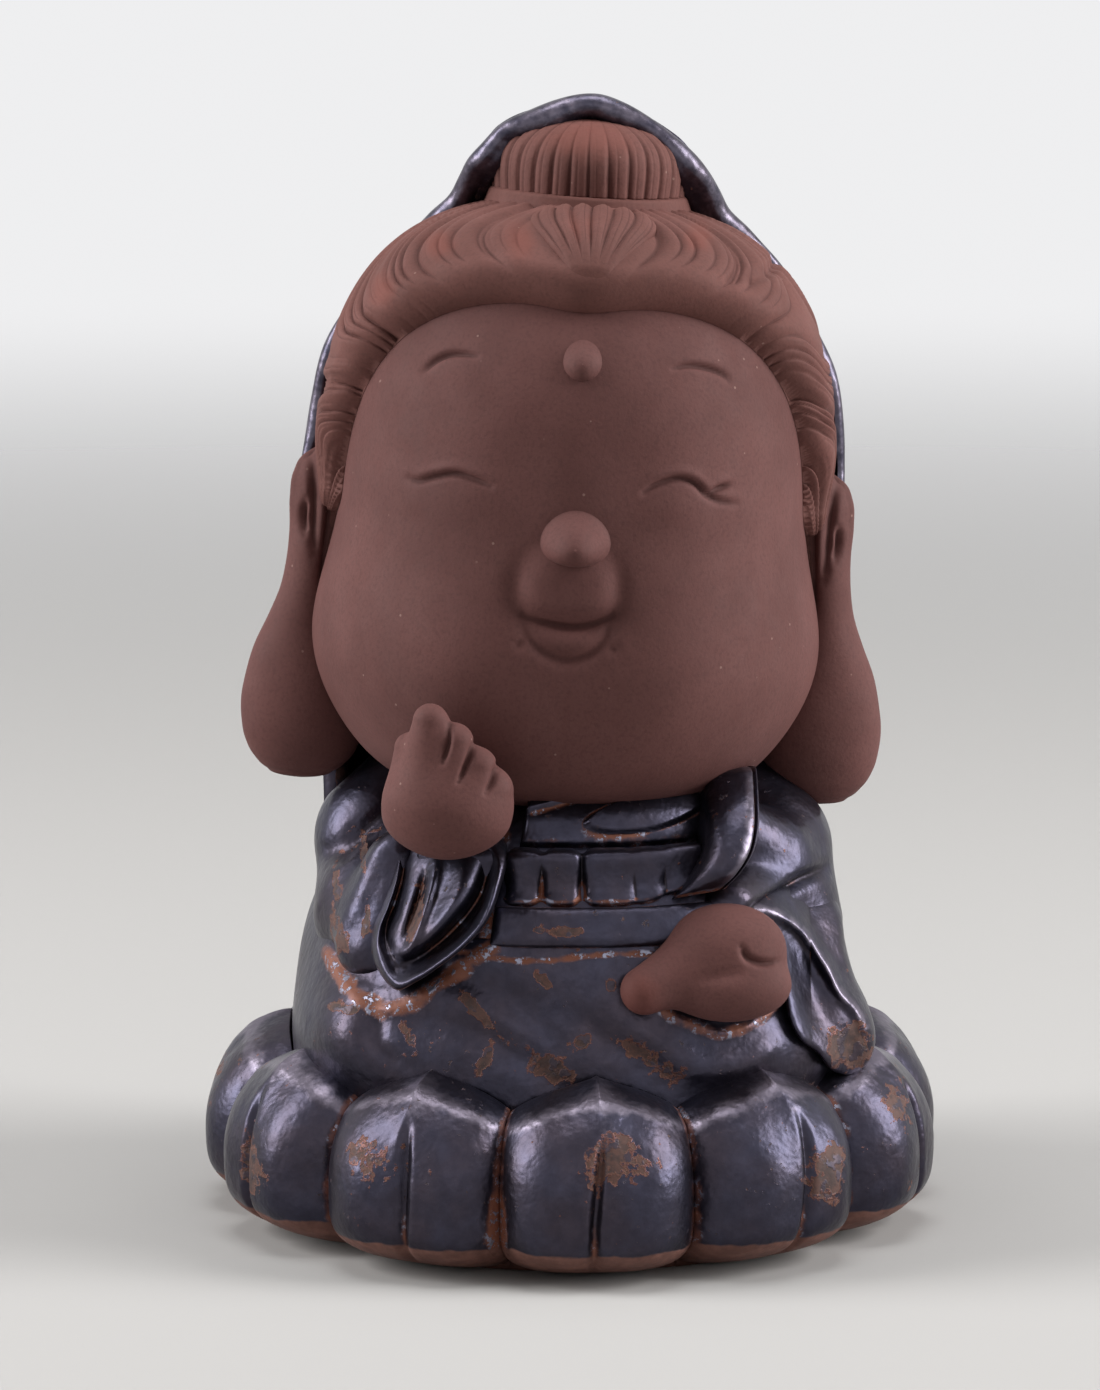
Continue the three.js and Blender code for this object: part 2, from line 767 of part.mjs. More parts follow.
const left_cuff_top = waist_height + 1;
const left_cuff_out = drum_radius - 7.2;
const left_cuff_front = -(lap_front_depth - 8);
const left_cuff = cuff(
  [
    [left_cuff_out + 0.4, left_cuff_front, left_cuff_top],
    [left_cuff_out + 3.6, left_cuff_front + 0.8, left_cuff_top - left_cuff_drop / 2],
    [left_cuff_out + 5, left_cuff_front + 2, left_cuff_top - left_cuff_drop],
  ],
  cuff_half_width,
  cuff_tip_half_width + 0.4,
  cuff_thickness,
);

// Seat group
const seat = new THREE.Group();
seat.rotation.z = seat_turn;
seat.add(piece("base_slab", floorSlab(), clay), piece("lotus_drum", seatDrum(), clay));
const petal_turns = Array.from({ length: petal_count }, (_, k) => k * seat_pitch);
petal_turns.forEach((turn, k) => {
  const mesh = piece("lotus_petal_" + String(k + 1).padStart(2, "0"), petal, glaze);
  mesh.rotation.z = turn;
  seat.add(mesh);
});

// What the clothes are cut by
const petal_cuts = petal_turns.map((turn) => grown(petal).rotateZ(turn + seat_turn));
const hand_cuts = [raised_hand, raised_wrist, resting_palm, resting_finger].map((form) => grown(form));
const arm_cuts = [right_arm, left_arm].map((form) => grown(form));
const sleeve_cuts = [...arm_cuts, grown(right_cuff), grown(left_cuff)];
const head_cut = moved(grown(head), head_frame);
const neck_cut = moved(neck_bore, head_frame);
const ear_cuts = Object.values(ears).map((form) => moved(grown(form), head_frame));
const over_chest = [...hand_cuts, ...sleeve_cuts, head_cut, ...ear_cuts];
const under_sleeve = [grown(robe), ...hand_cuts, head_cut, ...ear_cuts, ...petal_cuts];

// Clothes group
const belt_foot = waist_height + 0.3;
const bodice_foot = belt_foot + belt_width + slip_joint;
const collar_foot = bodice_foot + bodice_width + slip_joint;
const lapel_place = new THREE.Matrix4()
  .makeRotationY(lapel_slant)
  .setPosition(lapel_out, -far / 2 - drum_radius / 4, bodice_foot + bodice_width);
const lapel_strip = moved(new THREE.BoxGeometry(lapel_width, far, far), lapel_place);
const lapel_gap = moved(new THREE.BoxGeometry(lapel_width + 2 * slip_joint, far, far), lapel_place);
const above_belt = block([-far, -far, bodice_foot], [far, 0, far]);

const clothes = new THREE.Group();
clothes.add(
  piece(
    "lap_shell",
    trimmed(robe, {
      keep: [block([-far, -far, -far], [far, far, waist_height - joint_half])],
      cut: [robe_cavity, ...petal_cuts],
    }),
    glaze,
  ),
  piece(
    "robe_front_shell",
    trimmed(robe, {
      keep: [block([-far, -far, waist_height + joint_half], [far, -joint_half, far])],
      cut: [robe_cavity, head_cut, neck_cut],
    }),
    glaze,
  ),
  piece(
    "robe_back_shell",
    trimmed(robe, {
      keep: [block([-far, joint_half, waist_height + joint_half], [far, far, far])],
      cut: [robe_cavity, head_cut, neck_cut],
    }),
    glaze,
  ),
  piece("belt_band", chestBand(belt_foot, belt_foot + belt_width, belt_thickness, over_chest), glaze),
  piece(
    "bodice_band",
    chestBand(bodice_foot, bodice_foot + bodice_width, bodice_thickness, [...over_chest, lapel_gap]),
    glaze,
  ),
  piece(
    "collar_drape",
    chestBand(collar_foot, collar_foot + collar_width, collar_thickness, [...over_chest, lapel_gap]),
    glaze,
  ),
  piece(
    "left_lapel",
    trimmed(grown(robe, lapel_thickness + slip_joint), {
      keep: [lapel_strip, above_belt],
      cut: [grown(robe), ...over_chest],
    }),
    glaze,
  ),
  piece("right_sleeve", trimmed(right_arm, { cut: under_sleeve }), glaze),
  piece("left_sleeve", trimmed(left_arm, { cut: under_sleeve }), glaze),
  piece("right_cuff", trimmed(right_cuff, { cut: [right_mouth, ...arm_cuts, ...under_sleeve] }), glaze),
  piece("left_cuff", trimmed(left_cuff, { cut: [...arm_cuts, ...under_sleeve] }), glaze),
  piece("right_hand", trimmed(joined(raised_hand, raised_wrist), { cut: [head_cut, grown(robe)] }), clay),
  piece("left_hand", trimmed(joined(resting_palm, resting_finger), { cut: [grown(robe)] }), clay),
);

// Head group, in its own rolled frame
const head_clear = grown(head);
const hair_coat = hairCap();
const hair_clear = grown(hair_coat);
const band = bunBand();
const band_front = bun_back_shift - bun_radius - bun_band_swell;
const in_front_of_band = block([-far, -far, 0], [far, band_front - slip_joint, far]);
const pressed_lines = [
  ...[-1, 1].map((side) => pressedLine(arch(side * eye_out, eye_rise, eye_half_width, 0.9))),
  ...[-1, 1].map((side) => pressedLine(arch(side * brow_out, brow_rise, brow_half_width, 0.9))),
  pressedLine(arch(0, mouth_rise, mouth_half_width, -0.9)),
];
const head_hollow = [head_cavity, neck_bore];
const front_half = block([-far, -far, -far], [far, -joint_half, far]);
const back_half = block([-far, joint_half, -far], [far, far, far]);
const nose = new THREE.SphereGeometry(nose_radius, 14, 10).translate(0, -face_depth - 0.6, nose_rise);
const bead_depth = headDepth(brow_bead_rise, true) + 0.5;
const brow_bead = new THREE.SphereGeometry(brow_bead_radius, 12, 8);
brow_bead.translate(0, -bead_depth, brow_bead_rise);
const bun = hairBun();

const head_group = new THREE.Group();
head_group.applyMatrix4(head_frame);
head_group.add(
  piece("face_shell", trimmed(head, { keep: [front_half], cut: [...head_hollow, ...pressed_lines] }), clay),
  piece("head_back_shell", trimmed(head, { keep: [back_half], cut: head_hollow }), clay),
  piece("nose_button", trimmed(nose, { cut: [head_clear] }), clay),
  piece("brow_bead", trimmed(brow_bead, { cut: [head_clear] }), clay),
  piece("hair_cap", trimmed(hair_coat, { cut: [head_clear] }), hair_clay),
  piece(
    "hair_tuft",
    trimmed(grown(hair_coat, tuft_thickness + slip_joint), {
      keep: [tuftFan(), in_front_of_band],
      cut: [head_clear, hair_clear],
    }),
    hair_clay,
  ),
  piece("bun_band", trimmed(band, { cut: [hair_clear, head_clear] }), hair_clay),
  piece("hair_bun", bun, hair_clay),
);
for (const [name, form] of Object.entries(ears))
  head_group.add(piece(name, trimmed(form, { cut: [head_clear, hair_clear] }), clay));

const hood_mouth = trimmed(grown(bun, hood_hollow), {
  keep: [block([-far, -far, -far], [far, hair_back_edge, bun_foot_rise + 0.45 * bun_height])],
});
const into_head = (form) => moved(form, from_head);
head_group.add(
  piece(
    "veil",
    trimmed(veilForm(), {
      keep: [behindVeilEdge()],
      cut: [
        head_clear,
        hair_clear,
        grown(bun),
        hood_mouth,
        grown(band),
        ...Object.values(ears).map((form) => grown(form)),
        into_head(grown(robe)),
        ...sleeve_cuts.map(into_head),
        ...petal_cuts.map(into_head),
      ],
    }),
    glaze,
  ),
);

const figure = new THREE.Group();
figure.add(seat, clothes, head_group);

export default figure;
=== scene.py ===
"""A fired clay tea figure, seated and veiled on a lotus seat, dressed over its CAD frame.

Shapes are worked out in millimetres as numpy grids and go into the meshes in metres.
+Z is up and the face looks along -Y. Left and right are the figure's own.
"""
import math

import bpy
import numpy as np
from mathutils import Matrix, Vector


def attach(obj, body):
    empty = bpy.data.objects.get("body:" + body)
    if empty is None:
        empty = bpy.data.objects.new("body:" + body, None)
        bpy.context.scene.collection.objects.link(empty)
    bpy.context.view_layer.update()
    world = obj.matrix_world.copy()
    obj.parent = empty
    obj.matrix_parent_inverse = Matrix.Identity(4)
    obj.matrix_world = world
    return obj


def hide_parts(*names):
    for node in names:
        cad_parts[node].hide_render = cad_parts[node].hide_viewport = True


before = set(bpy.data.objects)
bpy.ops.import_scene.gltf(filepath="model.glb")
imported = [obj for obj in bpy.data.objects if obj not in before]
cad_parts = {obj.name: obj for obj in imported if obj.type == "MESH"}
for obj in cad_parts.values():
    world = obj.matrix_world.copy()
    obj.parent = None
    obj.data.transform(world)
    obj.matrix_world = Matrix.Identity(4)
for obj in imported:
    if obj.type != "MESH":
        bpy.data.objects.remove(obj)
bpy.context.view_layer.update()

MM = 0.001

# The head's own frame stands on the neck, and the seat is turned a little under the figure.
NECK_HEIGHT = 42.0
HEAD_ROLL = math.radians(3)
HEAD_SIDE_SHIFT = 1.1
SEAT_TURN = math.radians(4.4)

# Head
HEAD_HALF_WIDTH = 20.4
HEAD_HALF_HEIGHT = 23.7
HEAD_CENTRE = 22.7
HEAD_SQUARENESS = 2.2
CHIN_DROP = 3.3
FACE_DEPTH = 22.2
HEAD_BACK_DEPTH = 20.0

# Hair, bun and veil, in the head's frame
HAIR_THICKNESS = 2.8
HAIR_END_THICKNESS = 0.9
HAIR_END_RISE = 16.6
HAIRLINE_HALF_WIDTH = 20.5
HAIRLINE_RISE = 41.3
HAIRLINE_PEAK = 0.7
HAIRLINE_FLARE = 1.3
HAIRLINE_FLARE_HEIGHT = 6.0
HAIR_BACK_EDGE = 3.0
BUN_RADIUS = 8.2
BUN_FOOT = 49.7
BUN_HEIGHT = 6.7
BUN_SHIFT = 1.5
HOOD_LEAN_START, HOOD_LEAN_END = 46.0, 53.5

# Robe and seat
ROBE_BOTTOM = 11.8
ROBE_HEIGHT = 32.7
ROBE_SQUARENESS = 2.15
LAP_FRONT_DEPTH = 24.8
LAP_BACK_DEPTH = 24.0
KNEE_SWELL = 1.9
DRUM_RADIUS = 25.2
WAIST_HEIGHT = 27.6
PETAL_COUNT = 11
PETAL_HEIGHT = 17.2
PETAL_REACH = 33.1
PETAL_BACK = 25.5
BARE_FOOT_HEIGHT = 3.1


def placed(name, data):
    """An object of the scene for a mesh, a lamp or a camera."""
    made = bpy.data.objects.new(name, data)
    bpy.context.collection.objects.link(made)
    return made


def add_camera():
    """The photograph's camera: a long lens that looks a little down on the figure."""
    data = bpy.data.cameras.new("photo camera")
    data.sensor_width = 36
    data.lens = 146
    camera = placed("photo camera", data)
    camera.location = (0, -0.5, 0.128)
    camera.rotation_euler = (math.radians(80.74), 0, math.radians(0.2236))
    bpy.context.scene.camera = camera


add_camera()


class Signal:
    """One socket of a node tree. Arithmetic on it adds Math nodes."""

    def __init__(self, nodes, socket):
        self.nodes = nodes
        self.socket = socket

    def math(self, operation, first, second):
        return self.nodes.node("ShaderNodeMath", {"operation": operation}, {0: first, 1: second})

    def __add__(self, other):
        return self.math("ADD", self, other)

    def __radd__(self, other):
        return self.math("ADD", other, self)

    def __sub__(self, other):
        return self.math("SUBTRACT", self, other)

    def __rsub__(self, other):
        return self.math("SUBTRACT", other, self)

    def __mul__(self, other):
        return self.math("MULTIPLY", self, other)

    def __rmul__(self, other):
        return self.math("MULTIPLY", other, self)

    def or_more(self, other):
        """The greater of the two."""
        return self.math("MAXIMUM", self, other)


class Nodes:
    """A node tree that is written as expressions on its sockets."""

    def __init__(self, tree):
        self.tree = tree

    def put(self, socket, value):
        if isinstance(value, Signal):
            self.tree.links.new(value.socket, socket)
        else:
            socket.default_value = value

    def node(self, kind, settings, values, output=0):
        made = self.tree.nodes.new(kind)
        for key, value in settings.items():
            setattr(made, key, value)
        for key, value in values.items():
            self.put(made.inputs[key], value)
        return Signal(self, made.outputs[output])


class Finish(Nodes):
    """A material, and the signals that finishes are written with. Sizes are in millimetres."""

    def __init__(self, name):
        self.material = bpy.data.materials.new(name)
        self.material.use_nodes = True
        super().__init__(self.material.node_tree)
        self.shader = self.tree.nodes["Principled BSDF"]

    def place(self):
        """Where on the object a point is."""
        spot = self.node("ShaderNodeTexCoord", {}, {}, "Object")
        return self.node("ShaderNodeVectorMath", {"operation": "SCALE"}, {0: spot, "Scale": 1 / MM})

    def height(self):
        return self.node("ShaderNodeSeparateXYZ", {}, {0: self.place()}, "Z")

    def noise(self, size, detail=3.0, roughness=0.55):
        """Cloudy noise about 0.5, with features about as wide as size."""
        values = {"Vector": self.place(), "Scale": 1 / size, "Detail": detail, "Roughness": roughness}
        return self.node("ShaderNodeTexNoise", {}, values)

    def clouds(self, size, detail, low, high, roughness=0.55):
        """Noise turned into clouds: 0 where it is below low, 1 where it is above high."""
        return self.step(self.noise(size, detail, roughness), low, high)

    def specks(self, size):
        """How far a point is from the nearest of many loose spots, in spot spacings."""
        return self.node("ShaderNodeTexVoronoi", {}, {"Vector": self.place(), "Scale": 1 / size})

    def mark(self, name):
        return self.node("ShaderNodeAttribute", {"attribute_name": name}, {}, "Fac")

    def step(self, value, low, high):
        """0 below low, 1 above high, smooth between."""
        values = {"Value": value, "From Min": low, "From Max": high}
        return self.node("ShaderNodeMapRange", {"interpolation_type": "SMOOTHSTEP"}, values)

    def mixed(self, share, first, second):
        """The first colour at share 0, the second at share 1."""
        first, second = (tone if isinstance(tone, Signal) else linear(tone) for tone in (first, second))
        return self.node("ShaderNodeMix", {"data_type": "RGBA"}, {0: share, 6: first, 7: second}, 2)

    def bump(self, height, distance):
        """A normal from a height that is worth distance millimetres at 1."""
        return self.node("ShaderNodeBump", {}, {"Strength": 1.0, "Distance": distance * MM, "Height": height})

    def shade(self, **values):
        for key, value in values.items():
            self.put(self.shader.inputs[key.replace("_", " ")], value)
        return self.material


def linear(colour):
    """A colour as it shows on a screen, from 0 to 1, turned into the shader's linear one."""
    return (*(c / 12.92 if c <= 0.04045 else ((c + 0.055) / 1.055) ** 2.4 for c in colour), 1.0)


def toned(colour, *shares):
    return tuple(c * share for c, share in zip(colour, shares))


def fired_clay(name, fresh, shade, grain):
    """Bare fired clay: cloudy tone, fine grain, a few pale specks, and painted shade in its creases."""
    finish = Finish(name)
    colour = finish.mixed(finish.clouds(9, 4, 0.3, 0.7), fresh, shade)
    colour = finish.mixed(finish.clouds(0.35, 2, 0.42, 0.75) * 0.35, colour, toned(fresh, 0.72, 0.7, 0.7))
    speck = (1 - finish.step(finish.specks(1.9), 0.045, 0.075)) * finish.clouds(5, 1, 0.5, 0.56)
    colour = finish.mixed(speck * 0.35, colour, (0.68, 0.56, 0.52))
    # Painted shade: the clay's colour is darkened in its creases and along the face's pressed lines.
    crease = finish.step(finish.mark("hollow"), 0.15, 1.1)
    colour = finish.mixed(crease * 0.5, colour, toned(fresh, 0.62, 0.52, 0.5))
    flush = finish.step(finish.mark("warm") + (finish.noise(1.6) - 0.5) * 0.6, 0.2, 1.0)
    colour = finish.mixed(flush * 0.4, colour, toned(fresh, 1.1, 0.93, 0.85))
    return finish.shade(
        Base_Color=colour,
        Roughness=0.66 + finish.noise(2.5) * 0.2,
        Specular_IOR_Level=0.25,
        Normal=finish.bump(finish.noise(0.3) * grain + finish.noise(1.6) * 0.5, 0.05),
    )


def metal_glaze(name, foot_height=None):
    """Dark metal glaze over brown clay: rust in ragged patches and slip at the joints, with painted shade in
    creases, painted highlights along ridges and rims, and painted glints in the slip.

    Below foot_height the clay is bare.
    """
    finish = Finish(name)
    ragged = finish.noise(3.4, 5, 0.66) * 0.55 + finish.noise(0.9, 4, 0.6) * 0.45
    patch = finish.mark("patch") * 0.9 + (ragged - 0.5) * 3.4
    bare = finish.step(patch, 0.5, 0.53) * (finish.clouds(1.3, 3, 0.42, 0.5) * 0.75 + 0.25)
    border = finish.step(patch, 0.42, 0.49) * (1 - finish.step(patch, 0.55, 0.66))
    fleck = finish.clouds(0.8, 4, 0.64, 0.69, 0.7) * finish.clouds(6, 2, 0.45, 0.6)
    bare = bare.or_more(fleck * 0.8)
    filled = finish.mark("slip") + finish.mark("hollow") * 0.3 + (finish.noise(1.5, 4) - 0.5) * 0.9
    joint = finish.step(filled, 0.42, 0.8)
    # Painted glints: bright metal specks in the slip at the joints.
    painted_glint = joint * finish.clouds(0.75, 4, 0.55, 0.6, 0.7)
    slip = joint - painted_glint

    metal = finish.mixed(finish.clouds(7, 4, 0.35, 0.68), (0.235, 0.23, 0.285), (0.245, 0.22, 0.255))
    metal = finish.mixed(finish.clouds(1.3, 5, 0.3, 0.7, 0.6) * 0.5, metal, (0.175, 0.165, 0.205))
    # Painted shade: the metal is darkened where the surface is creased.
    painted_crease_shade = finish.step(finish.mark("hollow"), 0.1, 0.9)
    metal = finish.mixed(painted_crease_shade * 0.75, metal, (0.13, 0.11, 0.125))
    # Painted highlight: the metal is lightened where this mark picks out ridges, rims and the veil's lip.
    painted_highlight = finish.step(finish.mark("painted_highlight") + (finish.noise(1.1, 4) - 0.5) * 1.2, 0.3, 1.0)
    metal = finish.mixed(painted_highlight * 0.7, metal, (0.47, 0.44, 0.49))
    rust = finish.mixed(finish.clouds(0.9, 4, 0.4, 0.65), (0.2, 0.13, 0.12), (0.31, 0.2, 0.17))
    colour = finish.mixed(bare, metal, rust)
    colour = finish.mixed(border * 0.6, colour, (0.42, 0.26, 0.2))
    colour = finish.mixed(slip, colour, (0.46, 0.27, 0.2))
    # The painted glints' bright colour.
    colour = finish.mixed(painted_glint * 0.8, colour, (0.58, 0.58, 0.65))
    covered = bare.or_more(slip * 0.8)
    height = finish.noise(3.2) * 2.0 + finish.noise(0.8) * 0.35 - covered * 0.45 + border * 0.15
    if foot_height is not None:
        edge = finish.height() + (finish.noise(3) - 0.5) * 1.1
        foot = 1 - finish.step(edge, foot_height - 0.12, foot_height + 0.12)
        clay = finish.mixed(finish.clouds(1.2, 4, 0.35, 0.7), (0.36, 0.225, 0.19), (0.44, 0.29, 0.25))
        colour = finish.mixed(foot, colour, clay)
        covered = covered.or_more(foot)
    return finish.shade(
        Base_Color=colour,
        Metallic=0.92 - covered * 0.86,
        Roughness=0.26 + finish.noise(1.7, 4) * 0.18 + covered * 0.34,
        Normal=finish.bump(height, 0.09),
    )


finishes = {
    "bare_clay": fired_clay("bare clay", (0.39, 0.25, 0.237), (0.345, 0.215, 0.203), 0.5),
    "hair_clay": fired_clay("hair clay", (0.425, 0.272, 0.25), (0.375, 0.235, 0.213), 0.6),
    "robe_glaze": metal_glaze("robe glaze"),
    "veil_glaze": metal_glaze("veil glaze"),
    "petal_glaze": metal_glaze("petal glaze", BARE_FOOT_HEIGHT),
}


def dome(q, n, m=None):
    """What is left of a half-width at the share q of a half-height: (1 - |q|^n)^(1/m)."""
    return np.maximum(0, 1 - np.abs(q) ** n) ** (1 / (m or n))


def bell(distance, width):
    """A bump of height 1: exp(-(distance / width)^2)."""
    return np.exp(-((distance / width) ** 2))


def oval(x, z, place, half_width, half_height):
    """A bell over an oval about a place."""
    return bell(np.hypot((x - place[0]) / half_width, (z - place[1]) / half_height), 1.0)


def ease(value, low=0.0, high=1.0):
    """0 below low, 1 above high, and s * s * (3 - 2 * s) between."""
    s = np.clip((value - low) / (high - low), 0, 1)
    return s * s * (3 - 2 * s)


def blend(first, second, share):
    return first + (second - first) * share


def column(first, last, count):
    """Even steps from row to row of a grid."""
    return np.linspace(first, last, count)[:, None]


def full_turn(count, first=0.0):
    """Even angles round a ring, from column to column of a grid."""
    return np.linspace(first, first + 2 * np.pi, count, endpoint=False)[None]


def grid(x, y, z):
    """Points from coordinates that may each vary along rows, columns or both."""
    return np.stack(np.broadcast_arrays(x, y, z), -1)


def seen(points):
    """The two coordinates of points that a look from the front shows."""
    return points[..., 0], points[..., 2]


def turned(radius, turn, height, shift=0.0):
    """Points round an upright axis that stands shift behind the origin."""
    return grid(radius * np.cos(turn), shift + radius * np.sin(turn), height)


def square_ring(angle, exponent):
    """The point at an angle on |x|^e + |y|^e = 1."""
    c, s = np.cos(angle), np.sin(angle)
    k = (np.abs(c) ** exponent + np.abs(s) ** exponent) ** (-1 / exponent)
    return c * k, s * k


def round_ends(v, start, end):
    """The share of a half-width at v where the first and last stretches close in quarter circles."""
    left = np.minimum(np.minimum(v / start, (1 - v) / end), 1)
    return np.sqrt(np.maximum(0, 1 - (1 - left) ** 2))


def through(knots, values, t):
    """A smooth curve through values at knots: cubic pieces with the slopes of their neighbours."""
    knots, values = np.asarray(knots, float), np.asarray(values, float)
    slopes = np.gradient(values, knots, axis=0)
    i = np.clip(np.searchsorted(knots, t, side="right") - 1, 0, len(knots) - 2)
    width = knots[i + 1] - knots[i]
    s = np.clip((t - knots[i]) / width, 0, 1)
    if values.ndim == 2:
        s, width = s[..., None], width[..., None]
    rise = s * s * (3 - 2 * s)
    start, end = s * (1 - s) ** 2, -s * s * (1 - s)
    return values[i] * (1 - rise) + values[i + 1] * rise + width * (start * slopes[i] + end * slopes[i + 1])


def lengths(points):
    """How far along a line of points each of them is."""
    return np.concatenate([[0], np.cumsum(np.linalg.norm(np.diff(points, axis=0), axis=1))])


def path_at(points, v):
    """Points at the shares v of the length of the smooth path through the given points."""
    points = np.asarray(points, float)
    chord = lengths(points)
    fine = through(chord, points, np.linspace(0, chord[-1], 1500))
    run = lengths(fine)
    return np.stack([np.interp(np.asarray(v) * run[-1], run, fine[:, k]) for k in range(points.shape[1])], -1)


def unit(vectors):
    return vectors / np.maximum(np.linalg.norm(vectors, axis=-1, keepdims=True), 1e-9)


def line_distance(x, z, points):
    """The distance of each place to a smooth drawn line, and the share of its length that is nearest."""
    path = path_at(points, np.linspace(0, 1, 25))
    best = np.full(np.shape(x), 1e9)
    along = np.zeros(np.shape(x))
    for k in range(len(path) - 1):
        start, step = path[k], path[k + 1] - path[k]
        t = np.clip(((x - start[0]) * step[0] + (z - start[1]) * step[1]) / (step @ step), 0, 1)
        far = np.hypot(x - start[0] - t * step[0], z - start[1] - t * step[1])
        near = far < best
        best = np.where(near, far, best)
        along = np.where(near, (k + t) / (len(path) - 1), along)
    return best, along


def pressed(x, z, points, depth, width):
    """A pressed line: -depth * bell(distance, width), fading out at both ends."""
    far, along = line_distance(x, z, points)
    return -depth * bell(far, width) * np.sqrt(np.clip(np.sin(np.pi * np.clip(along, 0.03, 0.97)), 0, 1))


def creases(x, z, lines):
    """Several pressed lines together, each as (points, depth, width)."""
    return sum(pressed(x, z, *line) for line in lines)


def normals_of(points, wrap=True):
    """Unit normals of a grid: the cross product of its two directions, turned away from its middle."""
    if wrap:
        across = np.roll(points, -1, 1) - np.roll(points, 1, 1)
    else:
        across = np.gradient(points, axis=1)
    along = np.gradient(points, axis=0)
    normal = unit(np.cross(across, along))
    middle = points.reshape(-1, 3).mean(0)
    facing = ((points - middle) * normal).sum()
    return normal if facing > 0 else -normal


def raised(points, height, wrap=True):
    """The grid moved out along its normals."""
    return points + normals_of(points, wrap) * np.asarray(height)[..., None]


def hollow_of(points):
    """How sharply a grid of rings is creased, in 1/mm: the mean of the neighbours seen along the normal."""
    normal = normals_of(points)
    onward = np.roll(points, -1, 1)
    padded = np.pad(points, ((1, 1), (0, 0), (0, 0)), mode="edge")
    bend = 0
    for after, before in ((onward, np.roll(points, 1, 1)), (padded[2:], padded[:-2])):
        reach = np.maximum(np.linalg.norm(after - points, axis=-1), 0.05)
        bend = bend + (((after + before) / 2 - points) * normal).sum(-1) / reach**2
    for _ in range(3):
        wide = np.pad(bend, ((1, 1), (1, 1)), mode="edge")
        bend = (wide[2:, 1:-1] + wide[:-2, 1:-1] + wide[1:-1, 2:] + wide[1:-1, :-2] + 2 * bend) / 6
    return np.clip(bend, -2, 2)


def put_frame(points, frame_name):
    """From a piece's own frame to the object's: the head rolls on the neck, the seat turns about Z."""
    x, y, z = points[..., 0], points[..., 1], points[..., 2]
    if frame_name == "head":
        c, s = math.cos(HEAD_ROLL), math.sin(HEAD_ROLL)
        return grid(c * x + s * z - HEAD_SIDE_SHIFT, y, c * z - s * x + NECK_HEIGHT)
    if frame_name == "seat":
        c, s = math.cos(SEAT_TURN), math.sin(SEAT_TURN)
        return grid(c * x - s * y, s * x + c * y, z)
    return points


def solid(name, points, slot, nodes, frame_name="object", marks=None, ends=True):
    """A closed body from a grid whose rows are closed rings: its first and last ring get a fan each.

    marks are shares over the grid, which the finish reads as attributes.
    """
    rows, columns = points.shape[:2]
    # The hollow mark says how creased each place is: the finishes paint shade into creases from it, and the
    # glaze adds a little slip there.
    marks = {"hollow": hollow_of(points), "patch": 0.0, **(marks or {})}
    marks = {key: np.broadcast_to(mark, (rows, columns)) for key, mark in marks.items()}
    place = put_frame(points, frame_name)
    r, c = np.meshgrid(np.arange(rows - 1), np.arange(columns), indexing="ij")
    row = np.stack([r, r, r + 1, r + 1], -1).reshape(-1, 4)
    ring = np.stack([c, c + 1, c + 1, c], -1).reshape(-1, 4)
    quads = row * columns + ring % columns
    uv = np.stack([ring / columns, row / (rows - 1)], -1)
    corners = place.reshape(-1, 3)
    values = {key: mark.reshape(-1) for key, mark in marks.items()}
    fans = np.zeros((0, 3), int)
    if ends:
        k = np.arange(columns)
        after, last, middle = (k + 1) % columns, (rows - 1) * columns, np.full(columns, len(corners))
        foot = np.stack([middle, after, k], -1)
        head = np.stack([middle + 1, last + k, last + after], -1)
        fans = np.concatenate([foot, head])
        corners = np.concatenate([corners, place[[0, -1]].mean(1)])
        values = {key: np.append(value, marks[key][[0, -1]].mean(1)) for key, value in values.items()}
    wedges = np.concatenate([quads[:, [0, 1, 2]], quads[:, [0, 2, 3]], fans])
    first, second, third = corners[wedges].transpose(1, 0, 2)
    if (first * np.cross(second, third)).sum() < 0:
        quads, fans, uv = quads[:, ::-1], fans[:, ::-1], uv[:, ::-1]
    mesh = bpy.data.meshes.new(name)
    mesh.from_pydata(corners * MM, [], quads.tolist() + fans.tolist())
    mesh.polygons.foreach_set("use_smooth", np.ones(len(mesh.polygons), bool))
    layer = mesh.uv_layers.new(name="surface")
    layer.data.foreach_set("uv", np.concatenate([uv.reshape(-1), np.full(len(fans) * 6, 0.5)]))
    for key, value in values.items():
        mesh.attributes.new(key, "FLOAT", "POINT").data.foreach_set("value", value.astype(np.float32))
    mesh.materials.append(finishes[slot])
    mesh.update()
    made = placed(name, mesh)
    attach(made, "root")
    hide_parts(*nodes)


def rod_distance(points, start, end, first_radius, last_radius):
    """The distance to a tapering rod with round ends."""
    start, step = np.asarray(start, float), np.subtract(end, start)
    t = np.clip(((points - start) @ step) / (step @ step), 0, 1)
    return np.linalg.norm(points - start - t[..., None] * step, axis=-1) - blend(first_radius, last_radius, t)


def egg_distance(points, middle, radii):
    """About the distance to an ellipsoid."""
    return (np.linalg.norm((points - middle) / np.asarray(radii, float), axis=-1) - 1) * min(radii)


def pressed_together(points, eggs, rods, softness):
    """The distance to several forms joined softly: -log(sum of exp(-d / softness)) * softness."""
    distances = [egg_distance(points, *egg) for egg in eggs] + [rod_distance(points, *rod) for rod in rods]
    return -np.log(sum(np.exp(-np.clip(far, -20, 20) / softness) for far in distances)) * softness


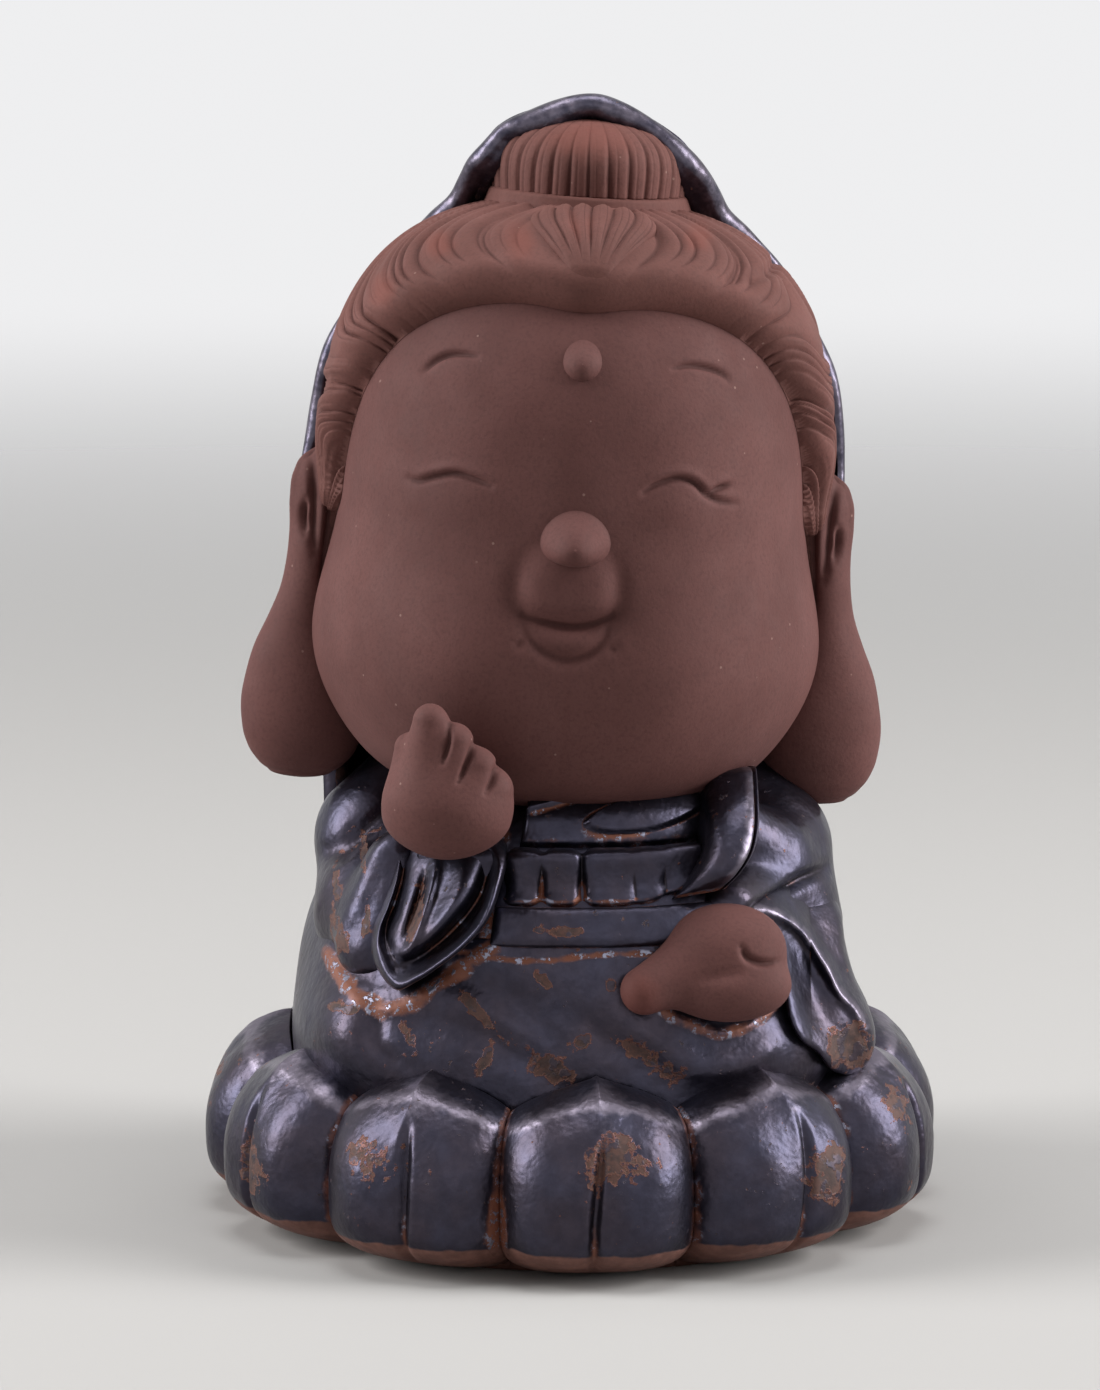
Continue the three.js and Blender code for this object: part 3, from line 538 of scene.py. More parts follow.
def lump(centre, softness, rods, eggs=()):
    """The skin of soft-joined forms: where rays from a centre leave them, by halving the step 24 times.

    A rod is (start, end, first radius, last radius), and an egg is (middle, radii).
    """
    rows, columns, reach = 144, 190, 24.0
    up = np.array([0.0, 0.0, 1.0])
    side = unit(np.cross(up, (0.3, 1, 0.2)))
    fore = np.cross(up, side)
    v = column(0.006, 0.994, rows) * np.pi
    turn = full_turn(columns)
    level = np.cos(turn)[..., None] * side + np.sin(turn)[..., None] * fore
    direction = np.sin(v)[..., None] * level - np.cos(v)[..., None] * up
    low, high = np.zeros((rows, columns)), np.full((rows, columns), reach)
    for _ in range(24):
        middle = (low + high) / 2
        inside = pressed_together(centre + direction * middle[..., None], eggs, rods, softness) < 0
        low, high = np.where(inside, middle, low), np.where(inside, high, middle)
    return centre + direction * low[..., None]


def pad(outline, front, back, squareness, relief):
    """A cushion inside an outline seen from the front: its face at front(x, z), its back at back(x, z).

    At the share r from its middle the face has dome(r, squareness) of its height over the back.
    """
    outline = path_at(outline + outline[:1], np.linspace(0, 1, 300, endpoint=False))
    middle = outline.mean(0)
    r = np.sin(column(0.02, np.pi / 2, 90))
    x = middle[0] + r * (outline[:, 0] - middle[0])
    z = middle[1] + r * (outline[:, 1] - middle[1])
    behind = back(x, z)
    face = behind + (front(x, z) - relief(x, z, r) - behind) * dome(r, squareness)
    rear = grid(x, behind, z)[::-1][::6]
    return np.concatenate([grid(x, face, z), rear[1:]])


def sheet_ring(outer, inner):
    """A closed ring for each row from an outer and an inner sheet, the inner one walked back."""
    return np.concatenate([outer, inner[:, ::-1]], 1)


def on_outside(ring, mark):
    """A mark of a ring's outer sheet, with 0 on its inner one."""
    whole = np.zeros(ring.shape[:2])
    whole[:, : mark.shape[1]] = mark
    return whole


def head_taper(rise, grow):
    """What is left of the head's width at a height: a square jaw below its middle, a rounder crown above."""
    above = (rise - HEAD_CENTRE) / (HEAD_HALF_HEIGHT + grow)
    below = (rise - HEAD_CENTRE) / (HEAD_HALF_HEIGHT + CHIN_DROP + grow)
    return np.where(above < 0, dome(np.minimum(below, 0), 4.2), dome(above, 2.8))


def head_width(rise, grow=0.0):
    """Half the head's width at a height: a square-shouldered egg with full cheeks."""
    return (HEAD_HALF_WIDTH + grow + 2.6 * bell(rise - 9, 9)) * head_taper(rise, grow)


def head_depth(rise, front, grow=0.0):
    """Half the head's depth at a height, before or behind its axis."""
    return (np.where(front, FACE_DEPTH, HEAD_BACK_DEPTH) + grow) * head_taper(rise, grow)


def cheek_round(rise, across):
    """How far the cheeks stand out: two bells, one over height and one over the share of the width."""
    return 1.4 * bell(rise - 9, 8) * bell(np.abs(across) - 0.5, 0.35)


def face_at(x, rise):
    """The smooth face at a place seen from the front."""
    across = np.clip(x / head_width(rise), -0.999, 0.999)
    depth = head_depth(rise, True) + cheek_round(rise, across)
    return grid(x, -depth * dome(across, HEAD_SQUARENESS), rise)


def on_head(direction, grow):
    """Where rays from the head's middle leave the head grown by a thickness, by halving the step 26 times."""
    low, high = np.full(direction.shape[:-1], 5.0), np.full(direction.shape[:-1], 45.0)
    for _ in range(26):
        reach = (low + high) / 2
        spot = direction * reach[..., None]
        rise = spot[..., 2] + HEAD_CENTRE
        front = spot[..., 1] < 0
        across = spot[..., 0] / np.maximum(head_width(rise, grow), 1e-3)
        depth = np.maximum(head_depth(rise, front, grow), 1e-3)
        depth = depth + np.where(front, cheek_round(rise, np.clip(across, -1, 1)), 0)
        inside = np.abs(across) ** HEAD_SQUARENESS + np.abs(spot[..., 1] / depth) ** HEAD_SQUARENESS < 1
        low, high = np.where(inside, reach, low), np.where(inside, high, reach)
    return direction * low[..., None] + [0, 0, HEAD_CENTRE]


# The face's drawn lines: the right eye, the left eye and its outer corner, and the right and left brows.
EYES = [
    [
        *((-14.3, 25.5), (-13.3, 25.4), (-12.5, 25.75), (-11.6, 26.1)),
        *((-10.3, 26.45), (-8.5, 26.15), (-7.2, 25.7)),
    ],
    [
        *((6.0, 25.9), (6.7, 26.45), (7.6, 26.85), (9.0, 27.1)),
        *((10.3, 26.65), (11.2, 25.75), (12.3, 25.15), (13.9, 24.8)),
    ],
    [(11.4, 25.8), (12.3, 26.2), (13.3, 26.45)],
]
BROWS = [
    [(-13.6, 34.6), (-12.6, 35.7), (-11.3, 36.4), (-10.3, 36.55), (-9.0, 36.5)],
    [(7.9, 36.4), (9.3, 36.65), (10.6, 36.5), (11.7, 36.15), (12.5, 35.7), (12.9, 35.2)],
]
SMILE = [(-4.0, 14.8), (-3.1, 14.5), (-1.8, 14.2), (0.2, 13.9), (2.2, 14.3), (3.2, 14.8), (3.9, 15.2)]
SMILE_CREASES = [
    [(-4.3, 19.4), (-4.6, 18.2), (-4.6, 16.8), (-4.3, 15.6), (-3.9, 14.6)],
    [(3.8, 19.6), (4.2, 18.4), (4.25, 17.2), (4.1, 15.9), (3.8, 14.8)],
]
LOWER_LIP = [(-4.1, 14.6), (-3.4, 13.1), (-1.9, 11.8), (0.1, 11.1), (2.0, 11.8), (3.3, 13.1), (3.9, 15.0)]
FACE_LINES = [
    (SMILE, 0.7, 0.32),
    (LOWER_LIP, 0.55, 0.6),
    *((line, 0.26, 0.9) for line in SMILE_CREASES),
    *((line, 0.65, 0.26) for line in EYES),
    *((line, 0.6, 0.24) for line in BROWS),
]


def face_relief(x, z):
    """What the modelling tool did to the smooth face: pressed lines, the muzzle, lips and lids."""
    muzzle = np.hypot((x + 0.1) / 4.1, (z - 17.4) / 4.2)
    relief = 0.5 * ease(1 - muzzle, -0.2, 0.8)
    relief -= 0.3 * bell(np.hypot((x - 0.1) / 1.5, (z - 17)), 5.2) * (1 - ease(1 - muzzle, -0.2, 0.4))
    above_smile = ease(z - 14.7 - 0.05 * x * x, -0.45, 1.3)
    relief -= (1 - above_smile) * bell(x - 0.2, 3.3) * bell(z - 14.6, 1.9)
    relief += 0.6 * oval(x, z, (0.2, 13.0), 3.1, 1.3)
    for side in (-1, 1):
        relief += 0.35 * oval(x, z, (side * 10.4, 24.6), 4.6, 2.4)
        relief -= 0.35 * oval(x, z, (side * 4.2, 27.5), 3.2, 4.5)
        relief -= 0.28 * oval(x, z, (side * 4.1, 12.3), 0.5, 0.5)
    lids = creases(x, z - 0.62, [(line, -0.14, 0.42) for line in EYES])
    return relief + creases(x, z, FACE_LINES) + lids


def head_skin():
    """The head from under the chin to the crown: square rings at 270 heights, closest together in front."""
    v = np.linspace(0.012, 0.99, 270)
    share = 0.5 * (2 * v - 1) - 0.5 * np.cos(np.pi * v)
    rise = (HEAD_CENTRE + (HEAD_HALF_HEIGHT + np.where(share < 0, CHIN_DROP, 0)) * share)[:, None]
    turn = full_turn(350, -np.pi)
    c, s = square_ring(-np.pi / 2 + turn - 0.5 * np.sin(turn), HEAD_SQUARENESS)
    depth = head_depth(rise, s < 0) + np.where(s < 0, cheek_round(rise, c), 0)
    points = grid(head_width(rise) * c, depth * s, rise)
    x, z = seen(points)
    relief = np.where(s < 0, face_relief(x, z) * ease(-s, 0.05, 0.3), 0)
    # Painted shade: the eye, brow and smile lines join the hollow mark, which darkens the clay along them.
    drawn = -creases(x, z, [(line, 1.0, 0.3) for line in [*EYES, *BROWS, SMILE]]) * (s < 0)
    points = raised(points, relief)
    marks = {"hollow": hollow_of(points) + drawn}
    solid("head", points, "bare_clay", ["face_shell", "head_back_shell"], "head", marks)


def face_button(name, middle, half_width, half_height, out, nodes, blend_above):
    """A pressed-on ball, blended into the face: out * (1 - r^2)^p high, with p larger above than below."""
    r = column(0, 1, 60) ** 0.8
    turn = full_turn(96)
    above = (0.5 + 0.5 * np.sin(turn)) * blend_above
    x = middle[0] + half_width * r * np.cos(turn)
    z = middle[1] + half_height * (1 + 0.45 * above) * r * np.sin(turn)
    base = face_at(x, z)
    base[..., 1] -= face_relief(x, z)
    height = out * (1 - r**2) ** (1.15 + 1.4 * above) - 0.1 * r
    aside = 0.3 * (x - middle[0]) / half_width * height
    droop = 0.2 * (z - middle[1]) / half_height * height - 0.12 * height
    front = base + grid(aside, -height, droop)
    back = base + [0, 0.7, 0]
    solid(name, np.concatenate([front, back[::-1][:12]]), "bare_clay", nodes, "head")


def hair_thickness(rise):
    """The hair's coat: thin at the temples' ends, full from halfway up the head."""
    full = ease(rise, HAIR_END_RISE, HAIR_END_RISE + HEAD_CENTRE / 2)
    return blend(HAIR_END_THICKNESS, HAIR_THICKNESS, full)


def hairline(v):
    """The edge of the hair on the face: a square-shouldered arch that flares at the temples."""
    turn = np.pi * (1 - v)
    out = HAIRLINE_HALF_WIDTH * np.abs(np.cos(turn)) ** (2 / 3)
    arch = (HAIRLINE_RISE - HAIR_END_RISE) * np.clip(np.sin(turn), 0, 1) ** (2 / 3)
    rise = HAIR_END_RISE + arch - HAIRLINE_PEAK * bell(out, 4)
    out = out + HAIRLINE_FLARE * (1 - ease(arch, 0, HAIRLINE_FLARE_HEIGHT))
    return np.minimum(out, 0.998 * head_width(rise)) * np.sign(np.cos(turn)), rise


# Where the hair shows redder clay: a place, a half-width and a half-height
HAIR_WARM = [
    ((-5.8, 46.2), 1.6, 1.7),
    ((-12.8, 45.3), 1.8, 1.2),
    ((-17.5, 41.0), 1.4, 1.6),
    ((9.6, 47.0), 1.5, 1.2),
]
TWIST = [(13.4, 46.4), (15.4, 44.9), (16.3, 43.4), (14.4, 41.9), (10.2, 41.8)]


def hair_skin():
    """The hair from the face to under the veil: rows fan out round the head, columns run back.

    The lip at the hairline is a quarter-round roll, notched by the strands at the temples. The strands are
    waves in a phase that bows out and back to the bun, and falls at the temples.
    """
    rows, columns = 1060, 84
    v = np.linspace(0, 1, rows)
    x, rise = hairline(blend(v, ease(v), 0.35))
    start = face_at(x, rise) - [0, 0, HEAD_CENTRE]
    sweep = np.arctan2(x, rise - HEAD_CENTRE)
    end = grid(22 * np.sin(sweep), HAIR_BACK_EDGE, 24.5 * np.cos(sweep))
    length = np.linalg.norm(end - start, axis=1)[:, None]
    t = np.linspace(0, 1, columns)[None] ** 1.25
    direction = unit(blend(unit(start)[:, None], unit(end)[:, None], t[..., None]))
    base = on_head(direction, 0.0)
    back = t * length
    spread = sweep[:, None]
    side = np.sign(spread)
    far = np.abs(spread)

    bow = bell(far - 0.45, 0.38) * ease(far, 0, 0.2) * (1.92 * t**2 - 0.96 * t)
    steep = blend(0.16, 0.38, ease(spread, -0.4, 0.4)) * ease(far, 0.7, 1.1) + 0.7 * ease(far, 1.3, 1.6)
    phase = far + bow - steep * (np.sqrt(t + 0.01) - 0.1) + 0.015 * np.sin(5 * t + 9 * spread)
    wander = 1.5 * np.sin(11 * phase + 2 * side) + 1.0 * np.sin(29 * phase)
    strand = 1 - np.abs(np.sin(phase * 50 + wander))
    uneven = 0.65 + 0.35 * np.sin(23 * phase + 3 * t + side)
    lock = (1 - np.abs(np.sin(phase * 11 + 0.9 + 0.5 * side))) ** 4
    front = bell(spread, 0.8)
    fade = ease(back, 1.6 * front, 0.9 + 4.4 * front)
    deep = blend(0.36, 0.44, ease(far, 0.7, 1.1))
    fine = (1 - np.abs(np.sin(phase * 107 + 2 * wander))) ** 2 * ease(far, 0.6, 1.0)
    relief = -(deep * strand**1.3 * uneven + 0.12 * fine) * fade
    relief = relief - 0.5 * lock * ease(back, 0.2, 0.9 + 3 * front)
    relief = relief + pressed(*seen(base), TWIST, 0.5, 0.5)

    notch = (0.25 * strand**1.5 * uneven + 0.6 * lock) * ease(far, 0.55, 0.95)
    roll = np.sqrt(1 - (1 - np.clip((back - notch) / 2.4, 0, 1)) ** 2) * blend(1, 0.93, ease(t, 0.7, 1))
    last = round_ends(v, 0.05, 0.05)[:, None]
    grow = 0.06 + (hair_thickness(base[..., 2]) + 0.05) * roll * last + relief * np.sqrt(roll) * last
    ring = sheet_ring(on_head(direction, np.maximum(grow, 0.05)), on_head(direction[:, ::10], 0.02))
    warm = sum(oval(*seen(ring), *place) for place in HAIR_WARM)
    solid("hair", ring, "hair_clay", ["hair_cap"], "head", {"warm": warm})


def tuft():
    """The lock combed up from the forehead: a fan of seven fat strands on the hair, wide at the top."""
    b = column(0, 1, 120)
    a = np.linspace(-1, 1, 200)[None]
    start = unit(np.array([0.3, -18.0, 19.0]))
    end = unit(np.array([0.5, -9.3, 25.8]))
    half = through([0, 0.2, 0.45, 0.7, 0.9, 1], [0.045, 0.085, 0.142, 0.19, 0.198, 0.185], b)
    bow = (a + 0.25 * a * (1 - a * a) * (1 - b)) * half
    direction = unit(blend(start, end, b[..., None]) + bow[..., None] * [1.0, 0, 0])
    strand = 1 - np.abs(np.sin(a * 11.0 + 0.5 * np.sin(2.5 * b + 3 * a)))
    fine = (1 - np.abs(np.sin(a * 29.0 + 1))) ** 3
    profile = dome(a, 2.4) * ease(b, -0.25, 0.5) * round_ends(b + 0.01, 0.01, 0.07)
    height = 1.55 - (0.42 * strand + 0.06 * fine) * ease(b, 0.1, 0.5)
    sunk = blend(0.95, 0.45, ease(b, 0, 0.15)) + 1.4 * (1 - ease(b, 0, 0.07))
    outer = on_head(direction, HAIR_THICKNESS - sunk + height * profile)
    ring = sheet_ring(outer, on_head(direction[:, ::20], HAIR_THICKNESS - 2.2))
    warm = on_outside(ring, bell(a + 0.25, 0.35) * bell(b - 0.55, 0.3) * (0.4 + 0.6 * strand))
    solid("hair_tuft_lock", ring, "hair_clay", ["hair_tuft"], "head", {"warm": warm})


def bun():
    """The bun: a drum with a rounded top, combed into 32 upright strands."""
    q = column(0.0, 0.995, 96) ** 0.8
    turn = full_turn(640)
    radius = BUN_RADIUS * (1.05 + 0.02 * np.sin(np.pi * q)) * dome(q, 4.2, 2)
    wander = 0.25 * np.sin(3 * turn + 1) + 0.2 * np.sin(7 * turn) + 0.12 * np.sin(4 * q + 5 * turn)
    strand = 1 - np.abs(np.sin(16 * turn + wander))
    split = (1 - np.abs(np.sin(32 * turn + 2 * wander + 0.7))) ** 3
    radius = radius - (0.27 * strand**2.2 + 0.06 * split) * ease(radius / BUN_RADIUS, 0.25, 0.8) + 0.1
    points = turned(radius, turn, BUN_FOOT + BUN_HEIGHT * q, BUN_SHIFT)
    warm = bell(q - 0.75, 0.3) * (0.5 + 0.5 * np.sin(3 * turn + 0.2))
    solid("hair_bun_strands", points, "hair_clay", ["hair_bun"], "head", {"warm": warm})


def bun_band():
    """The smooth band round the foot of the bun: a turned profile with a soft edge."""
    profile = [
        *((6.0, 45.6), (9.9, 46.6), (9.5, 47.9), (9.2, 48.6)),
        *((9.05, 49.2), (8.9, 49.65), (8.3, 49.8), (6.0, 49.8)),
    ]
    profile = path_at(profile, np.linspace(0, 1, 60))
    turn = full_turn(160)
    height = profile[:, 1:] + 0.08 * np.sin(2 * turn + 0.6)
    points = turned(profile[:, :1] + 0.05 * np.sin(3 * turn), turn, height, BUN_SHIFT)
    solid("bun_band_ring", points, "hair_clay", ["bun_band"], "head")


# The ears' outlines from the foot of the lobe up, and half their depth
EAR_RISE = [-4.2, -4.0, -3.4, -2.4, -0.8, 1.0, 2.8, 5.0, 7.8, 10.4, 13.0, 15.6, 18.4, 21.2, 23.5, 25.0, 25.9]
EAR_OUTER = [
    *(23.3, 24.9, 26.3, 27.4, 28.3, 28.7, 28.8, 28.5, 27.8),
    *(26.7, 25.75, 25.3, 25.15, 25.25, 25.0, 24.2, 22.9),
]
EAR_INNER = [
    *(22.9, 21.5, 20.1, 18.9, 18.0, 17.6, 17.6, 18.0, 19.2),
    *(20.2, 20.6, 20.6, 20.4, 20.2, 20.2, 20.6, 21.8),
]
EAR_DEPTH = [0.2, 1.2, 2.1, 2.9, 3.5, 3.9, 4.0, 3.9, 3.5, 3.0, 2.7, 2.6, 2.5, 2.4, 2.1, 1.5, 0.3]
EAR_SHELL = [
    ([(23.6, 25.4), (23.2, 23.2), (23.0, 21.0), (22.9, 18.6), (22.6, 16.5)], 0.75, 0.55),
    ([(23.9, 21.2), (24.1, 19.6), (23.7, 18.2)], 0.8, 0.4),
    ([(21.6, 23.5), (21.5, 20.5), (21.7, 17.0), (22.0, 13.5)], 0.5, 0.4),
]


def ear(side, name):
    """An ear: round sections between an inner and an outer line, with a pressed shell.

    side is 1 for the left ear and -1 for the right one.
    """
    v = 0.5 - 0.5 * np.cos(np.pi * column(0.004, 0.996, 190))
    rise = blend(EAR_RISE[0], EAR_RISE[-1], v)
    outer, inner, depth = (through(EAR_RISE, values, rise) for values in (EAR_OUTER, EAR_INNER, EAR_DEPTH))
    c, s = square_ring(full_turn(150), 2.0)
    points = grid((outer + inner) / 2 + (outer - inner) / 2 * c, depth * s, rise)
    x, z = seen(points)
    shell = creases(x, z, EAR_SHELL) - 0.3 * oval(x, z, (24.6, 22.5), 0.9, 4.0)
    points = raised(points, shell * ease(-s, 0.1, 0.5))
    points[..., 0] *= side
    solid(name + "_lobe", points, "bare_clay", [name], "head")


# The veil's half-widths to both sides and behind, from the hem up
VEIL_RISE = [
    *(-25, -15, -5, 2, 10, 18, 23, 26, 29.6, 35, 38),
    *(41, 44, 46.8, 48.6, 50.4, 52, 53.5, 55.4, 56.8, 57.7, 58.15),
]
VEIL_RIGHT = [
    *(21, 21.2, 21.6, 22.4, 23.6, 24.2, 24.5, 24.2, 23.8, 22.7, 21.1),
    *(19.1, 16.6, 14.0, 12.1, 11.3, 10.7, 9.7, 8.2, 5.6, 3.0, 0.3),
]
VEIL_LEFT = [
    *(21, 21.2, 21.6, 22.4, 23.6, 24.1, 24.3, 24.2, 23.9, 22.7, 21.1),
    *(19.4, 17.4, 14.5, 12.3, 11.3, 10.4, 9.3, 7.1, 4.7, 2.4, 0.3),
]
VEIL_BACK = [
    *(25.4, 24.6, 23.6, 23.2, 23.2, 23.2, 23.2, 23.2, 23.0, 22.0, 21.2),
    *(20.0, 18.6, 17.0, 15.8, 14.6, 13.4, 12.0, 9.8, 7.4, 4.6, 0.7),
]


def hood_lean(rise, below, above):
    """Where the veil's front edge stands: further forward from the foot of the bun up."""
    return blend(below, above, ease(rise, HOOD_LEAN_START, HOOD_LEAN_END))


def veil():
    """The veil: a sheet through half rings that run from its right front edge round the back to its left one.

    The front edge is thickened and wavy. Soft folds fall down the back, deeper towards the hem.
    """
    rows, columns = 300, 200
    v = column(0, 1, rows)
    rise = np.where(v < 0.5, blend(-25, 30, v / 0.5), blend(30, 58.25, 1 - (1 - (v - 0.5) / 0.5) ** 1.9))
    t = np.linspace(0, 1, columns)[None]
    right, left, depth = (through(VEIL_RISE, values, rise) for values in (VEIL_RIGHT, VEIL_LEFT, VEIL_BACK))
    edge = hood_lean(rise, HAIR_BACK_EDGE + 0.2, -1.0) + 0.35 * np.sin(rise * 0.8 + 1) * ease(rise, 10, 40)
    turn = np.pi * (1 - t)
    c, s = square_ring(turn, HEAD_SQUARENESS)
    ratio = np.clip(edge / depth, -0.98, 0.98)
    s = ratio + (1 - ratio) * s
    side = np.where(c < 0, right, left) * np.sign(c)
    outer = grid(np.where(s < 0, side, side * dome(s, HEAD_SQUARENESS)), depth * s, rise)
    arc = np.abs(t - 0.5) * 2
    lip = bell((1 - arc) * columns / 2, 4.0) * ease(rise, 20, 34)
    wave = 0.5 + 0.5 * np.sin(rise * 1.25 + 1.2 * np.sign(c)) * np.sin(rise * 0.47 + 2)
    wander = 0.7 * np.sin(rise * 0.11) + 0.9 * np.sin(2.6 * turn)
    folds = 0.5 - np.abs(np.sin((13 * turn + wander) / 2)) ** 1.3
    folds = folds * ease(20 - rise, 0, 36) * ease(1 - arc, 0.02, 0.25)
    crown = ease(58.2 - rise, 0, 1.6)
    outer = raised(outer, (lip * (0.1 + 0.3 * wave) - 0.3 - 1.5 * folds) * crown, wrap=False)
    thick = blend(2.0, 2.4, ease(rise, 44, 51)) * blend(0.15, 1, crown)
    inner = raised(outer, -thick, wrap=False)[:, ::8]
    left_rim, right_rim = (blend(outer[:, [k]], inner[:, [k]], 0.5) + [0, -0.45, 0] for k in (-1, 0))
    ring = np.concatenate([outer, left_rim, inner[:, ::-1], right_rim], 1)
    inside = np.zeros(ring.shape[:2])
    inside[:, columns + 1 : -1] = 2.5
    solid("veil_sheet", ring, "veil_glaze", ["veil"], "head", {"patch": inside})


# How far the lip's glaze webs inwards, towards the bun, at each side
WEB_RISE = [7, 40, 44, 46, 48, 50, 52, 54, 56, 59]
WEB_RIGHT = [0.1, 0.1, 0.4, 0.5, 0.4, 0.5, 2.0, 2.2, 0.8, 0.3]
WEB_LEFT = [0.1, 0.1, 0.8, 2.0, 2.8, 2.2, 1.7, 1.2, 0.6, 0.3]


def veil_lip():
    """The rolled front lip of the veil: a wavy round along its edge, slim at the sides, fat round the bun."""
    heights = np.array([rise for rise in VEIL_RISE if rise > 8], float)
    right = np.stack([-through(VEIL_RISE, VEIL_RIGHT, heights), heights], -1)
    left = np.stack([through(VEIL_RISE, VEIL_LEFT, heights), heights], -1)
    way = np.linspace(0, 1, 700)
    line = path_at(np.concatenate([right, left[::-1]]), way)
    along = unit(np.gradient(line, axis=0))
    inward = np.stack([along[:, 1], -along[:, 0]], -1)
    rise = line[:, 1]
    wave = np.sin(way * 71) * np.sin(way * 29 + 1)
    radius = blend(0.75, 1.1, ease(rise, 43, 50)) * (1 + 0.24 * wave) * round_ends(way, 0.02, 0.02)
    line = line + inward * (radius - 0.1 + 0.2 * np.sin(way * 47) * ease(rise, 42, 48))[:, None]
    web = np.where(way < 0.5, through(WEB_RISE, WEB_RIGHT, rise), through(WEB_RISE, WEB_LEFT, rise))[:, None]
    depth = hood_lean(rise, HAIR_BACK_EDGE - 0.1, -1.3) + 0.3 * np.sin(way * 53)
    turn = full_turn(64)
    inner = np.maximum(np.cos(turn), 0)
    reach = radius[:, None] * np.cos(turn) + web * inner**1.5
    knots = 0.35 * np.sin(way * 97)[:, None] * np.sin(5 * reach) * ease(web, 0.3, 1.2) * inner
    y = depth[:, None] + 1.15 * radius[:, None] * np.sin(turn) + (0.2 * web + knots) * inner
    points = grid(line[:, :1] + inward[:, :1] * reach, y, line[:, 1:] + inward[:, 1:] * reach)
    # Painted highlight: the lip is lightened, much less on its inner side where it webs in towards the bun.
    marks = {"painted_highlight": 0.6 - 0.5 * inner * ease(reach, 0.2, 1.2)}
    solid("veil_front_lip", points, "veil_glaze", ["veil"], "head", marks)


def knee(z, angle):
    """How far the knees swell: two bells, one over height and one over the angle from the front."""
    return KNEE_SWELL * bell(z - ROBE_BOTTOM - 6, 4.5) * bell(angle - 0.86, 0.42)


def robe_rise(z):
    """The share of the robe's height that a height is at."""
    return np.clip((z - ROBE_BOTTOM) / ROBE_HEIGHT, 0, 1)


def robe_taper(z):
    """What is left of the robe's width, and of its depth in front, at a height."""
    return dome(robe_rise(z), 2.8, 1.7)


def robe_at(angle, z):
    """The robe at an angle from the front and a height: a bell with swollen knees."""
    c, s = square_ring(angle - np.pi / 2, ROBE_SQUARENESS)
    front, back = robe_taper(z), dome(robe_rise(z), 1.7, 1.45)
    swell = knee(z, np.abs(angle))
    depth = np.where(s < 0, LAP_FRONT_DEPTH * front + swell, LAP_BACK_DEPTH * back)
    return grid((DRUM_RADIUS * front + swell) * c, depth * s, z)


def robe_front(x, z):
    """Where the front of the robe stands at a place seen from the front."""
    taper = robe_taper(z)
    swell = knee(z, np.arcsin(np.clip(np.abs(x) / (DRUM_RADIUS * taper), 0, 1)))
    across = np.clip(x / (DRUM_RADIUS * taper + swell), -0.985, 0.985)
    return -(LAP_FRONT_DEPTH * taper + swell) * dome(across, ROBE_SQUARENESS)


LAP_FOLDS = [
    ([(-19, 24.5), (-12, 25.8), (-6, 24.0), (-1, 20.0)], 0.8, 1.4),
    ([(-15, 20.5), (-9, 21.0), (-4, 18.5), (0, 15.5)], 0.6, 1.3),
    ([(-2, 24.0), (3, 20.5), (7, 18.4), (10, 16.2)], 0.5, 1.5),
    ([(4, 21.5), (7, 19.8), (10.2, 17.9), (14.6, 17.8), (18.5, 19.5)], -0.7, 1.4),
    ([(-17.2, 23.6), (-16.8, 21.0), (-16.6, 19.0), (-14.6, 17.4)], 0.7, 0.9),
]
SLIP_UNDER_CUFF = [
    *((-21.4, 25.2), (-20.2, 24.1), (-16.2, 21.9), (-14.9, 22.2)),
    *((-13.2, 23.2), (-11.5, 24.7), (-8.9, 26.6), (-6.7, 28.0)),
]
SLIP_UNDER_HAND = [
    *((7.4, 23.2), (9.0, 21.9), (10.4, 21.3), (12.8, 20.4)),
    *((15.4, 20.8), (17.5, 21.9), (18.8, 23.0)),
]

# Places where the glaze has broken to rust: x, z, half-width, half-height and lean
LAP_RUST = [
    (-1.8, 18.0, 2.6, 1.5, -0.3),
    (1.0, 20.0, 1.2, 0.7, 0.6),
    (6.6, 18.6, 3.0, 1.0, -0.55),
    (-8.2, 22.6, 2.8, 0.55, -0.8),
    (-7.6, 18.3, 2.2, 0.55, 1.2),
    (-14.2, 20.0, 1.6, 0.5, -1.1),
    (-2.5, 25.3, 1.1, 0.5, -0.6),
    (3.4, 25.0, 0.6, 0.5, 0.0),
    (-19.0, 21.3, 1.8, 0.5, 0.1),
]
CHEST_RUST = [(-6.4, 38.0, 1.4, 3.0, 0.0), (-7.2, 29.5, 1.2, 2.4, 0.0)]
BELT_RUST = [(0.2, 29.6, 1.9, 0.45, 0.0), (-2.9, 29.6, 0.5, 0.3, 0.0)]
CUFF_RUST = [(-13.4, 30.6, 0.5, 2.0, -0.3)]
SLEEVE_RUST = [
    (-20.8, 31.5, 0.5, 1.6, 0.1),
    (-20.4, 27.6, 0.8, 2.2, 0.0),
    (-18.4, 34.0, 0.4, 1.2, 0.2),
    (-18.0, 29.4, 0.5, 1.5, 0.0),
]


def spots(points, places):
    """Rusted places on the front: the highest of the bells round them."""
    mark = np.zeros(points.shape[:2])
    for x, z, half_width, half_height, lean in places:
        across, up = points[..., 0] - x, points[..., 2] - z
        along = across * np.cos(lean) + up * np.sin(lean)
        over = up * np.cos(lean) - across * np.sin(lean)
        mark = np.maximum(mark, oval(along, over, (0, 0), half_width, half_height))
    return mark * (points[..., 1] < 0)


